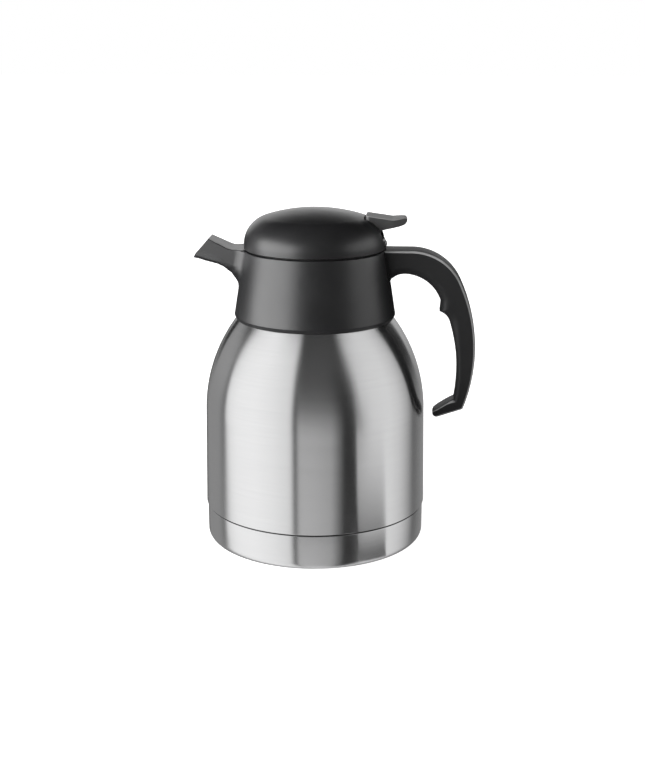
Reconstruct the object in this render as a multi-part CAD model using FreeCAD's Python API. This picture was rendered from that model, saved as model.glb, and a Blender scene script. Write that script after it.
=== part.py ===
import FreeCAD, Part

import math
import os

from FreeCAD import Vector

# Insulated pouring jug: a double-walled steel flask, a moulded collar with spout and handle,
# and a screw-in lid whose thumb lever lifts a sprung pouring valve.
# Millimetres. Origin at the middle of the foot, +Z up, handle along +X, spout along -X.

# Driving dimensions: steel flask
BODY_DIAMETER = 137.4
BODY_DRAFT = 0.45           # radius gained at the foot of the barrel and lost at its shoulder
BASE_HEIGHT = 22.0          # height of the seam between the base cup and the barrel
SEAM_GAP = 0.8
SEAM_STEP = 0.8             # the base cup is this much smaller in radius than the barrel's edge
SHOULDER_HEIGHT = 82.0
SHOULDER_ARC = 96.0
NECK_DIAMETER = 75.2
NECK_BLEND = 3.0
NECK_LENGTH = 3.0
MOUTH_LIP = 2.5             # width of the lip that joins neck and liner
SHELL_WALL = 0.6
LINER_WALL = 0.5
VACUUM_GAP = 5.0
LINER_FLOOR_HEIGHT = 16.0
LINER_CORNER = 14.0
LINER_NECK_BLEND = 6.0
BASE_CORNER = 4.5
BASE_RING_WIDTH = 8.0       # flat ring that the jug stands on
BASE_RECESS = 2.0
BOTTOM_PLATE_HEIGHT = 8.0
BOTTOM_PLATE_RIM = 6.0
SEAL_BEAD_DIAMETER = 7.0
SEAL_BEAD_HEIGHT = 1.6
GETTER_DIAMETER = 12.0
GETTER_HEIGHT = 1.8

# Driving dimensions: collar, throat and spout
COLLAR_HEIGHT = 42.2
COLLAR_WALL = 2.4
COLLAR_RIM_WALL = 1.9       # collar at its rim, outside the throat ring's flange
COLLAR_BEVEL_OUT = 1.2      # bevel under the collar's lower edge, outwards
COLLAR_BEVEL_UP = 2.3       # and upwards
COLLAR_EDGE_ROUND = 0.6
COLLAR_RIM_ROUND = 0.5
COLLAR_LEDGE = 2.2
THROAT_HEIGHT = 26.3        # from the flask's mouth to the collar's rim
THROAT_SKIRT = 2.5          # throat ring's wall round the neck
THROAT_WALL = 2.0
THROAT_FLANGE = 1.0
SEAT_STEP = 0.5             # how far the seat reaches in past the flask's mouth
SEAT_THICKNESS = 2.0
MOUTH_GASKET_THICKNESS = 1.2
SPOUT_REACH = 30.6          # lip, outwards from the collar's rim
SPOUT_LIP_DROP = 6.0        # lip, below the rim
SPOUT_LIP_WALL = 0.8
SPOUT_ROOF_REACH = 20.9     # front of the spout's roof, outwards from the rim
SPOUT_ROOF_RISE = 6.2
SPOUT_ROOF_LEVEL = 7.6      # level stretch of the roof
SPOUT_ROOF_BEND = 10.0
SPOUT_ROOT_DROP = 16.8      # underside at the throat, below the rim
SPOUT_ROOT_WIDTH = 24.0
SPOUT_TIP_WIDTH = 15.4
SPOUT_UNDER_ROUND = 5.5
SPOUT_BLEND = 10.0          # hollow blend between spout and collar
SPOUT_WALL = 2.2
CHANNEL_HEIGHT = 7.5        # pouring channel where it leaves the throat
CHANNEL_DROP = 4.6          # its roof, below the rim

# Driving dimensions: handle. Drops are below the collar's rim.
HANDLE_REACH = 31.0         # back of the handle, outwards from the barrel
HANDLE_THICKNESS = 11.1     # back to finger side, at the middle of the grip
HANDLE_ROOT_WIDTH = 18.0
HANDLE_TIP_WIDTH = 12.5
HANDLE_ROOT_HEIGHT = 16.7
HANDLE_PROUD = 0.5          # top of the handle, above the rim
HANDLE_BEND = 33.0
HANDLE_BACK_ARC = 103.0
HANDLE_BACK_DROP = 60.7     # where the back is furthest out
HANDLE_EDGE_ROUND = 2.4
GRIP_ARC = 118.0
GRIP_DROP = 73.0            # where the finger side is furthest out
GRIP_TOP_DROP = 46.2
GRIP_FOOT_DROP = 92.0
FINGER_SCOOP = 14.0
FINGER_STOP_IN = 11.0       # finger stop, inwards from the finger side of the grip
FINGER_STOP_HEIGHT = 5.6
ARCH_DROP = 13.1            # highest place of the finger side
ARCH_ROUND = 26.1
ARCH_TURN = 82.0            # degrees, where the arch starts to bend more tightly down to the collar
HOOK_BACK_DROP = 98.6       # outer corner of the hook
HOOK_NOSE_DROP = 101.8
HOOK_NOSE_ROUND = 2.4
HOOK_UNDER_SLOPE = 20.0     # degrees
HOOK_TOP_SLOPE = 30.0
HOOK_GAP = 4.8              # end of the hook, clear of the barrel
PAD_PROUD = 0.9
PAD_MARGIN = 1.0
SCREW_DIAMETER = 4.0
SCREW_HEAD_DIAMETER = 6.4
SCREW_HEAD_HEIGHT = 1.6
SCREW_LENGTH = 14.0
SCREW_SPACING = 9.0
SCREW_DROP = 10.3

# Driving dimensions: lid
LID_GAP = 0.8               # open seam between the collar's rim and the lid
DOME_STEP = 0.1             # the dome is this much smaller in radius than the collar's rim
DOME_WALL = 2.2
DOME_SIDE = 2.5
DOME_SHOULDER = 17.5
DOME_CROWN = 103.0
DOME_EDGE_ROUND = 0.5
DECK_THICKNESS = 2.4
STOPPER_WALL = 2.2
STOPPER_FLOOR = 2.0
STOPPER_GASKET_THICKNESS = 2.0
STOPPER_GASKET_WIDTH = 2.8
STOPPER_BEAD_HEIGHT = 1.8
WINDOW_COUNT = 6
WINDOW_WIDTH = 18.0
WINDOW_HEIGHT = 7.0
WINDOW_DROP = 3.0           # top of the pouring windows, below the deck
THREAD_LEAD = 15.0
THREAD_STARTS = 3
THREAD_SPAN = 70.0          # degrees that each lug runs round
THREAD_ROOT = 2.6
THREAD_CREST = 1.4
THREAD_DEPTH = 1.9
THREAD_SINK = 0.6           # how deep a lug is rooted in its wall
THREAD_RISE = 0.6           # lowest lug, above the stopper's foot

# Driving dimensions: lever
LEVER_WIDTH = 18.0
LEVER_FRONT_REACH = 5.4     # front end of the lever, inwards from the pivot
LEVER_DIP_REACH = 10.3      # lowest place of its top, outwards from the pivot
LEVER_END_REACH = 19.5      # thumb end, outwards from the pivot
LEVER_DROP = 3.1            # front end's top, below the crown of the dome
LEVER_FALL = 2.2            # how far the top falls from the front end to the dip
LEVER_TURN_UP = 1.5         # how far the thumb end turns up again
LEVER_PLATE = 5.2
LEVER_NOSE = 1.1
LEVER_EDGE_ROUND = 0.7
PIVOT_IN = 6.8              # pivot, inwards from the dome's side
PIVOT_RISE = 7.5            # pivot, above the deck
PIVOT_DIAMETER = 3.0
PIVOT_BOSS = 7.0
SLOT_ROOM = 1.0             # gap in front of the lever
SLOT_FLOOR = 5.4            # floor of the lever's slot, above the dome's lower edge
CHEEK_WALL = 2.0
NIB_RISE = 2.9              # nib below the slot, above the dome's lower edge
NIB_ROUND = 1.6
NIB_SPAN = 16.0             # degrees
FORK_RISE = 3.0             # underside of the lever's fork, above the deck
FORK_THICKNESS = 2.5
FORK_PRONG = 3.1            # width of each prong beside the stem

# Driving dimensions: valve
VALVE_SEAT_DIAMETER = 26.0
VALVE_OVERLAP = 4.0         # how far the disc reaches past its seat's edge
VALVE_DISC_THICKNESS = 1.8
VALVE_GASKET_THICKNESS = 1.2
VALVE_SPIGOT_GAP = 4.5      # gap round the spigot in the seat's hole
VALVE_BEAD = 0.8
VALVE_HUB_WALL = 1.5
VALVE_HUB_HEIGHT = 1.5
STEM_DIAMETER = 6.0
STEM_SHOULDER = 1.0         # step from the stem to its neck, under the cap
STEM_CAP_RIM = 3.5          # how far the cap reaches past the stem
STEM_CAP_THICKNESS = 2.0
STEM_SEAL_WIRE = 1.2
SPRING_WIRE = 1.0
SPRING_ROOM = 0.95          # gap between the spring and the disc's hub inside it
SPRING_TURNS = 5

# Clearances
FIT = 0.2                   # pieces that slip into one another
RUN = 0.05                  # the lever on its pin, the stem in its guide
STEEL_FIT = 0.15
THREAD_SLACK = 0.3          # between the flanks of the lugs
THREAD_ROOM = 0.5           # between a lug's crest and the wall it faces
FORK_SLACK = 0.3
FORK_SIDE = 0.4

# Radii and heights that follow from them
BODY_R = BODY_DIAMETER / 2
FOOT_R = BODY_R + BODY_DRAFT
SHOULDER_R = BODY_R - BODY_DRAFT
NECK_R = NECK_DIAMETER / 2
MOUTH_R = NECK_R - MOUTH_LIP
ARC_X = SHOULDER_R - SHOULDER_ARC
BLEND_X = NECK_R + NECK_BLEND
NECK_FOOT_Z = SHOULDER_HEIGHT + math.sqrt((SHOULDER_ARC + NECK_BLEND) ** 2 - (BLEND_X - ARC_X) ** 2)
MOUTH_Z = NECK_FOOT_Z + NECK_LENGTH
LINER_TOP_Z = MOUTH_Z - LINER_WALL
RIM_Z = MOUTH_Z + THROAT_HEIGHT
COLLAR_FOOT_Z = RIM_Z - COLLAR_HEIGHT
COLLAR_FOOT_R = ARC_X + math.sqrt(SHOULDER_ARC**2 - (COLLAR_FOOT_Z - SHOULDER_HEIGHT) ** 2) + STEEL_FIT
COLLAR_EDGE_R = COLLAR_FOOT_R + COLLAR_BEVEL_OUT
COLLAR_EDGE_Z = COLLAR_FOOT_Z + COLLAR_BEVEL_UP
LEDGE_Z = RIM_Z - COLLAR_LEDGE
THROAT_OUT_R = NECK_R + FIT + THROAT_SKIRT
THROAT_R = THROAT_OUT_R - THROAT_WALL
FLANGE_R = THROAT_OUT_R + THROAT_FLANGE
COLLAR_TOP_R = FLANGE_R + FIT + COLLAR_RIM_WALL
SEAT_R = MOUTH_R - SEAT_STEP
SEAT_Z = MOUTH_Z + MOUTH_GASKET_THICKNESS + SEAT_THICKNESS
DOME_R = COLLAR_TOP_R - DOME_STEP
DOME_FOOT_Z = RIM_Z + LID_GAP
DECK_R = DOME_R - DOME_WALL - FIT
PIVOT_OUT = DOME_R - PIVOT_IN
LEVER_FRONT = PIVOT_OUT - LEVER_FRONT_REACH
LEVER_DIP = PIVOT_OUT + LEVER_DIP_REACH
LEVER_END = PIVOT_OUT + LEVER_END_REACH
DECK_TOP_Z = DOME_FOOT_Z + DECK_THICKNESS
STOPPER_R = THROAT_R - THREAD_DEPTH - THREAD_ROOM
STOPPER_FOOT_Z = SEAT_Z + STOPPER_GASKET_THICKNESS
FLOOR_TOP_Z = STOPPER_FOOT_Z + STOPPER_FLOOR
DISC_Z = FLOOR_TOP_Z + VALVE_GASKET_THICKNESS
DISC_TOP_Z = DISC_Z + VALVE_DISC_THICKNESS
STEM_R = STEM_DIAMETER / 2
STEM_NECK_R = STEM_R - STEM_SHOULDER
STEM_CAP_R = STEM_R + STEM_CAP_RIM
FORK_TOP_Z = DECK_TOP_Z + FORK_RISE + FORK_THICKNESS
CAP_Z = FORK_TOP_Z + FORK_SLACK

UP = Vector(0, 0, 1)
OUTWARDS = Vector(1, 0, 0)
ACROSS = Vector(0, 1, 0)
BEYOND = 20.0               # how far a cutting shape stands past what it cuts


def wire(*steps):
    """Closed outline in the XZ plane. A step is a point, or a pair (middle, end) for an arc."""
    here = Vector(steps[0][0], 0, steps[0][1])
    edges = []
    for step in steps[1:] + steps[:1]:
        if isinstance(step[0], tuple):
            middle, end = (Vector(p[0], 0, p[1]) for p in step)
            edges.append(Part.Arc(here, middle, end).toShape())
        else:
            end = Vector(step[0], 0, step[1])
            if end.isEqual(here, 1e-7):
                continue
            edges.append(Part.LineSegment(here, end).toShape())
        here = end
    return Part.Wire(edges)


def on_circle(centre, radius, degrees):
    a = math.radians(degrees)
    return (centre[0] + radius * math.cos(a), centre[1] + radius * math.sin(a))


def arc_to(centre, radius, start, end):
    """Step for wire(): the arc of a circle between two angles in degrees."""
    return (on_circle(centre, radius, (start + end) / 2), on_circle(centre, radius, end))


def turned(*steps):
    """Solid of revolution about Z of an outline in the XZ plane."""
    return Part.Face(wire(*steps)).revolve(Vector(), UP, 360)


def slab(outline, half_width):
    """Outline in the XZ plane, made a solid from -half_width to half_width along Y."""
    face = Part.Face(outline)
    face.translate(ACROSS * -half_width)
    return face.extrude(ACROSS * (2 * half_width))


def prism(corners, along):
    """Flat polygon pushed along a vector."""
    return Part.Face(Part.makePolygon(corners + corners[:1])).extrude(along)


def ring(inner, outer, low, high):
    return turned((inner, low), (outer, low), (outer, high), (inner, high))


def cylinder(radius, low, high):
    return Part.makeCylinder(radius, high - low, UP * low)


def crossbar(radius, x, z, half_width):
    """Round bar along Y."""
    return Part.makeCylinder(radius, 2 * half_width, Vector(x, -half_width, z), ACROSS)


def block(low, high):
    return Part.makeBox(*(b - a for a, b in zip(low, high)), Vector(*low))


def round_the_axis(shape, degrees):
    copy = shape.copy()
    copy.rotate(Vector(), UP, degrees)
    return copy


def one_solid(shape):
    """The single solid of a boolean's result, with its split faces joined up again."""
    solids = shape.removeSplitter().Solids
    if len(solids) != 1:
        raise ValueError(f"expected one solid, found {len(solids)}")
    return solids[0]


parts = {}


# Steel flask: barrel, liner, bottom plate, seal bead, getter and base cup
BARREL_EDGE_Z = BASE_HEIGHT + SEAM_GAP / 2
BARREL_LIP = SEAM_STEP / 2                      # rolled edge above the seam
BASE_R = FOOT_R - SEAM_STEP
SPIGOT_R = BASE_R - SHELL_WALL - STEEL_FIT      # barrel's drawn-in end, inside the base cup


def flask_side(inset, low, neck_r, blend, top):
    """Steps up the flask's side, inset from the barrel's surface, from height low to the neck's top."""
    reach = SHOULDER_ARC - inset
    blend_x = neck_r + blend
    blend_z = SHOULDER_HEIGHT + math.sqrt((reach + blend) ** 2 - (blend_x - ARC_X) ** 2)
    meet = math.degrees(math.atan2(blend_z - SHOULDER_HEIGHT, blend_x - ARC_X))
    return (
        (FOOT_R - inset, low),
        (SHOULDER_R - inset, SHOULDER_HEIGHT),
        arc_to((ARC_X, SHOULDER_HEIGHT), reach, 0, meet),
        arc_to((blend_x, blend_z), blend, 180 + meet, 180),
        (neck_r, top),
    )


def flask_barrel():
    """Deep-drawn outer shell, drawn in at the foot to take the base cup and up into the neck."""
    low, edge, wall = BOTTOM_PLATE_HEIGHT, BARREL_EDGE_Z, SHELL_WALL
    outer = turned(
        (0, low),
        (SPIGOT_R, low),
        (SPIGOT_R, edge),
        (FOOT_R - BARREL_LIP, edge),
        *flask_side(0, edge + BARREL_LIP, NECK_R, NECK_BLEND, LINER_TOP_Z),
        (0, LINER_TOP_Z),
    )
    inner = turned(
        (0, low - BEYOND),
        (SPIGOT_R - wall, low - BEYOND),
        (SPIGOT_R - wall, edge + wall),
        *flask_side(wall, edge + wall + BARREL_LIP, NECK_R - wall, NECK_BLEND + wall, MOUTH_Z + BEYOND),
        (0, MOUTH_Z + BEYOND),
    )
    return one_solid(outer.cut(inner))


def flask_liner():
    """Inner bottle with a rounded floor, and a lip that closes the vacuum at the mouth."""

    def bottle(wall, neck_r, top):
        corner = LINER_CORNER - wall
        floor = LINER_FLOOR_HEIGHT + wall
        side = flask_side(
            SHELL_WALL + VACUUM_GAP + wall, floor + corner, neck_r, LINER_NECK_BLEND + wall, top
        )
        centre = (side[0][0] - corner, floor + corner)
        return turned((0, floor), (centre[0], floor), arc_to(centre, corner, -90, 0), *side[1:], (0, top))

    outer = bottle(0, MOUTH_R + LINER_WALL, MOUTH_Z)
    inner = bottle(LINER_WALL, MOUTH_R, MOUTH_Z + BEYOND)
    lip = cylinder(NECK_R, LINER_TOP_Z, MOUTH_Z)
    return one_solid(outer.fuse(lip).cut(inner))


PLATE_TOP_Z = BOTTOM_PLATE_HEIGHT + BOTTOM_PLATE_RIM


def bottom_plate():
    """Pressed disc that closes the vacuum under the liner, welded inside the barrel's spigot."""
    rim_r = SPIGOT_R - SHELL_WALL - STEEL_FIT
    low, wall = BOTTOM_PLATE_HEIGHT, SHELL_WALL
    return turned(
        (0, PLATE_TOP_Z - wall),
        (rim_r - BOTTOM_PLATE_RIM, PLATE_TOP_Z - wall),
        (rim_r - wall, low),
        (rim_r, low),
        (rim_r, PLATE_TOP_Z),
        (rim_r - wall, PLATE_TOP_Z),
        (rim_r - wall, low + 2 * wall),
        (rim_r - BOTTOM_PLATE_RIM, PLATE_TOP_Z),
        (0, PLATE_TOP_Z),
    )


def seal_bead():
    """Bead that plugs the pumping-out hole under the bottom plate."""
    top = PLATE_TOP_Z - SHELL_WALL
    r = SEAL_BEAD_DIAMETER / 2
    sphere_r = (r**2 + SEAL_BEAD_HEIGHT**2) / (2 * SEAL_BEAD_HEIGHT)
    centre = (0, top - SEAL_BEAD_HEIGHT + sphere_r)
    edge = math.degrees(math.asin(r / sphere_r)) - 90
    return turned((0, top), (0, top - SEAL_BEAD_HEIGHT), arc_to(centre, sphere_r, -90, edge))


def base_cup():
    """Steel cup over the foot of the barrel. It stands on a flat ring round a shallow recess."""
    top = BASE_HEIGHT - SEAM_GAP / 2
    wall = SHELL_WALL
    corner = (BASE_R - BASE_CORNER, BASE_CORNER)
    recess_r = corner[0] - BASE_RING_WIDTH
    return turned(
        (0, BASE_RECESS),
        (recess_r - BASE_RECESS, BASE_RECESS),
        (recess_r, 0),
        (corner[0], 0),
        arc_to(corner, BASE_CORNER, -90, 0),
        (BASE_R, top),
        (BASE_R - wall, top),
        (BASE_R - wall, BASE_CORNER),
        arc_to(corner, BASE_CORNER - wall, 0, -90),
        (recess_r + wall / 2, wall),
        (recess_r - BASE_RECESS + wall / 2, BASE_RECESS + wall),
        (0, BASE_RECESS + wall),
    )


parts["flask_barrel"] = flask_barrel()
parts["flask_liner"] = flask_liner()
parts["bottom_plate"] = bottom_plate()
parts["seal_bead"] = seal_bead()
parts["getter"] = cylinder(GETTER_DIAMETER / 2, PLATE_TOP_Z, PLATE_TOP_Z + GETTER_HEIGHT)
parts["base_cup"] = base_cup()
parts["mouth_gasket"] = ring(MOUTH_R, NECK_R, MOUTH_Z, MOUTH_Z + MOUTH_GASKET_THICKNESS)


# Spout: a beak with a level roof that turns up, a slanted mouth and a rounded underside
def spout_x(outwards):
    """X of a place on the spout, given outwards from the collar's rim."""
    return -(COLLAR_TOP_R + outwards)


ROOF_FRONT = (spout_x(SPOUT_ROOF_REACH), RIM_Z + SPOUT_ROOF_RISE)
LIP = (spout_x(SPOUT_REACH), RIM_Z - SPOUT_LIP_DROP)


def spout_sides(wall):
    """Upright prism that narrows from the collar to the lip, inset by a wall."""
    root_x, lip_x = spout_x(0), LIP[0]
    slope = (SPOUT_TIP_WIDTH - SPOUT_ROOT_WIDTH) / 2 / (lip_x - root_x)

    def half(x):
        return SPOUT_ROOT_WIDTH / 2 - wall + slope * (x - root_x)

    near, far = -STOPPER_R + STOPPER_WALL, lip_x - BEYOND
    low = RIM_Z - 2 * SPOUT_ROOT_DROP
    corners = [Vector(x, side * half(x), low) for x, side in ((near, -1), (far, -1), (far, 1), (near, 1))]
    return prism(corners, UP * (4 * SPOUT_ROOT_DROP))


def spout_beak():
    """Outside of the spout, reaching in as far as the throat ring."""
    turn = math.degrees(math.atan2(SPOUT_ROOF_RISE, SPOUT_ROOF_REACH - SPOUT_ROOF_LEVEL))
    bend_start = spout_x(SPOUT_ROOF_LEVEL) + SPOUT_ROOF_BEND * math.tan(math.radians(turn / 2))
    side = wire(
        (-THROAT_OUT_R, RIM_Z),
        (bend_start, RIM_Z),
        arc_to((bend_start, RIM_Z + SPOUT_ROOF_BEND), SPOUT_ROOF_BEND, -90, -90 - turn),
        ROOF_FRONT,
        LIP,
        (LIP[0] + SPOUT_LIP_WALL, LIP[1] - SPOUT_LIP_WALL),
        (-THROAT_OUT_R, RIM_Z - SPOUT_ROOT_DROP),
    )
    beak = one_solid(slab(side, SPOUT_ROOT_WIDTH).common(spout_sides(0)))
    under = [f for f in beak.Faces if f.normalAt(0, 0).z < -0.9]
    edges = [e for f in under for e in f.Edges if abs(e.tangentAt(e.FirstParameter).x) > 0.5]
    return beak.makeFillet(SPOUT_UNDER_ROUND, edges)


def pour_channel():
    """Hollow of the spout, from inside the throat to past the mouth."""
    roof_z = RIM_Z - CHANNEL_DROP
    inside = -STOPPER_R - FIT
    past = LIP[0] - BEYOND
    roof_slope = SPOUT_ROOF_RISE / (SPOUT_ROOF_REACH - SPOUT_ROOF_LEVEL)
    side = wire(
        (inside, roof_z),
        (spout_x(SPOUT_ROOF_LEVEL), roof_z + SPOUT_WALL / 2),
        (ROOF_FRONT[0], ROOF_FRONT[1] - SPOUT_WALL),
        (past, ROOF_FRONT[1] - SPOUT_WALL + roof_slope * (ROOF_FRONT[0] - past)),
        (past, LIP[1] + SPOUT_LIP_WALL),
        (LIP[0] + SPOUT_LIP_WALL, LIP[1] + SPOUT_LIP_WALL),
        (-THROAT_OUT_R, roof_z - CHANNEL_HEIGHT),
        (inside, roof_z - CHANNEL_HEIGHT),
    )
    return one_solid(slab(side, SPOUT_ROOT_WIDTH).common(spout_sides(SPOUT_WALL)))


CHANNEL = pour_channel()


# Collar: moulded skirt with the spout, a pad for the handle and a ledge for the throat ring
def collar_radius(z):
    share = (z - COLLAR_EDGE_Z) / (RIM_Z - COLLAR_EDGE_Z)
    return COLLAR_EDGE_R + share * (COLLAR_TOP_R - COLLAR_EDGE_R)


def collar_cone(proud, top=RIM_Z):
    """Solid inside the collar's outer face, proud of it by some amount."""
    return turned(
        (0, COLLAR_EDGE_Z),
        (COLLAR_EDGE_R + proud, COLLAR_EDGE_Z),
        (collar_radius(top) + proud, top),
        (0, top),
    )


SCREW_SEAT_X = THROAT_OUT_R + SCREW_HEAD_HEIGHT + 2 * FIT
SCREW_PLACES = [Vector(SCREW_SEAT_X, side * SCREW_SPACING / 2, RIM_Z - SCREW_DROP) for side in (-1, 1)]


def screw_shape(seat, clearance):
    """Pan-head screw from inside the collar, head at the seat, swollen by a clearance."""
    head_r = SCREW_HEAD_DIAMETER / 2 + clearance
    shank = Part.makeCylinder(SCREW_DIAMETER / 2 + clearance, SCREW_LENGTH + clearance, seat, OUTWARDS)
    head = Part.makeCylinder(head_r, SCREW_HEAD_HEIGHT + clearance, seat, -OUTWARDS)
    return one_solid(head.fuse(shank))


def on_cone(edge):
    """Whether both ends of an edge lie on the collar's outer face."""
    spots = (edge.valueAt(edge.FirstParameter), edge.valueAt(edge.LastParameter))
    return all(abs(math.hypot(p.x, p.y) - collar_radius(p.z)) < 1e-3 for p in spots)


def collar_outside(beak):
    """Cone with the spout blended into it, the bevelled foot, and rounded upper edges."""
    shape = one_solid(collar_cone(0).fuse(beak))
    joint = [e for e in shape.Edges if on_cone(e) and e.BoundBox.XMax < 0 and e.BoundBox.ZMin < RIM_Z - 1]
    shape = shape.makeFillet(SPOUT_BLEND, joint)
    top = max((f for f in shape.Faces if abs(f.CenterOfMass.z - RIM_Z) < 1e-3), key=lambda f: f.Area)
    roof = [f for f in shape.Faces if f.CenterOfMass.z > RIM_Z and f.normalAt(0, 0).z > 0.8]
    edges = []
    for face in [top] + roof:
        for edge in face.OuterWire.Edges:
            straight_across = abs(edge.tangentAt(edge.FirstParameter).y) > 0.99 and edge.Length < COLLAR_TOP_R
            if not straight_across:
                edges.append(edge)
    creases = [e for e in edges if sum(e.isSame(other) for other in edges) == 1]
    shape = shape.makeFillet(COLLAR_RIM_ROUND, creases)
    foot = turned(
        (0, COLLAR_FOOT_Z),
        (COLLAR_FOOT_R, COLLAR_FOOT_Z),
        (COLLAR_EDGE_R, COLLAR_EDGE_Z),
        (0, COLLAR_EDGE_Z),
    )
    shape = one_solid(shape.fuse(foot))
    level = [e for e in shape.Edges if e.BoundBox.ZLength < 1e-3]
    lower = [e for e in level if abs(e.BoundBox.ZMin - COLLAR_EDGE_Z) < 1e-3]
    return shape.makeFillet(COLLAR_EDGE_ROUND, lower)


def collar():
    beak = spout_beak()
    half = HANDLE_ROOT_WIDTH / 2 + PAD_MARGIN
    pad_low = RIM_Z - HANDLE_ROOT_HEIGHT - PAD_MARGIN
    pad = block((SCREW_SEAT_X, -half, pad_low), (COLLAR_TOP_R + BEYOND, half, RIM_Z))
    pad = pad.common(collar_cone(PAD_PROUD))
    under_ledge = LEDGE_Z - COLLAR_LEDGE
    hollow = turned(
        (0, COLLAR_FOOT_Z - BEYOND),
        (COLLAR_FOOT_R, COLLAR_FOOT_Z - BEYOND),
        (COLLAR_FOOT_R, COLLAR_FOOT_Z),
        (COLLAR_EDGE_R - COLLAR_WALL, COLLAR_EDGE_Z),
        (collar_radius(under_ledge - COLLAR_LEDGE) - COLLAR_WALL, under_ledge - COLLAR_LEDGE),
        (THROAT_OUT_R + FIT, under_ledge),
        (0, under_ledge),
    )
    duct = beak.common(cylinder(COLLAR_EDGE_R, COLLAR_FOOT_Z, LEDGE_Z))
    shape = collar_outside(beak).cut(hollow).fuse(pad).fuse(duct)
    shape = shape.cut(cylinder(THROAT_OUT_R + FIT, COLLAR_FOOT_Z, RIM_Z + BEYOND))
    shape = shape.cut(cylinder(FLANGE_R + FIT, LEDGE_Z, RIM_Z + BEYOND)).cut(CHANNEL)
    for seat in SCREW_PLACES:
        shape = shape.cut(screw_shape(seat, RUN))
    return one_solid(shape)


parts["collar"] = collar()


# Screw thread of the lid: short helical lugs of one form, inside the throat and outside the stopper
def thread_lugs(wall_r, way, middle_z):
    """Lugs that stand out of a cylinder's wall, inwards for way -1 and outwards for way 1."""
    root_r, crest_r = wall_r - way * THREAD_SINK, wall_r + way * THREAD_DEPTH
    rise = THREAD_LEAD * THREAD_SPAN / 360
    low = middle_z - rise / 2
    helix = Part.makeHelix(THREAD_LEAD, rise, wall_r)
    helix.translate(UP * low)
    section = wire(
        (root_r, low - THREAD_ROOT / 2),
        (crest_r, low - THREAD_CREST / 2),
        (crest_r, low + THREAD_CREST / 2),
        (root_r, low + THREAD_ROOT / 2),
    )
    lug = Part.Wire(helix.Edges).makePipeShell([section], True, True)
    return [round_the_axis(lug, n * 360 / THREAD_STARTS - THREAD_SPAN / 2) for n in range(THREAD_STARTS)]


STOPPER_THREAD_Z = STOPPER_FOOT_Z + THREAD_RISE + THREAD_ROOT / 2 + THREAD_LEAD * THREAD_SPAN / 720
THROAT_THREAD_Z = STOPPER_THREAD_Z + THREAD_LEAD / THREAD_STARTS / 2 - THREAD_SLACK


def throat_ring():
    """Threaded bush that clamps the collar to the flask's neck and takes the lid's thread."""
    skirt_z = NECK_FOOT_Z + FIT
    seat_under = MOUTH_Z + MOUTH_GASKET_THICKNESS
    body = turned(
        (THROAT_R, SEAT_Z),
        (THROAT_R, RIM_Z),
        (FLANGE_R, RIM_Z),
        (FLANGE_R, LEDGE_Z),
        (THROAT_OUT_R, LEDGE_Z),
        (THROAT_OUT_R, skirt_z),
        (NECK_R + FIT, skirt_z),
        (NECK_R + FIT, seat_under),
        (SEAT_R, seat_under),
        (SEAT_R, SEAT_Z),
    )
    for lug in thread_lugs(THROAT_R, -1, THROAT_THREAD_Z):
        body = body.fuse(lug)
    return one_solid(body.cut(CHANNEL))


parts["throat_ring"] = throat_ring()


# Handle: tapered bar from the collar's pad, with a finger stop, ending in a free hook
def drop(depth):
    """Height of a place given below the collar's rim."""
    return RIM_Z - depth


def angle_at(centre, radius, z):
    """Angle in degrees at which the right side of a circle reaches a height."""
    return math.degrees(math.asin((z - centre[1]) / radius))


def tangent_circle(centre, radius, degrees, through):
    """Circle that touches another at an angle and passes through a point: its centre and radius."""
    touch = on_circle(centre, radius, degrees)
    out = on_circle((0, 0), 1, degrees)
    gap = (touch[0] - through[0], touch[1] - through[1])
    size = (gap[0] ** 2 + gap[1] ** 2) / 2 / (gap[0] * out[0] + gap[1] * out[1])
    return (touch[0] - size * out[0], touch[1] - size * out[1]), size


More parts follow.
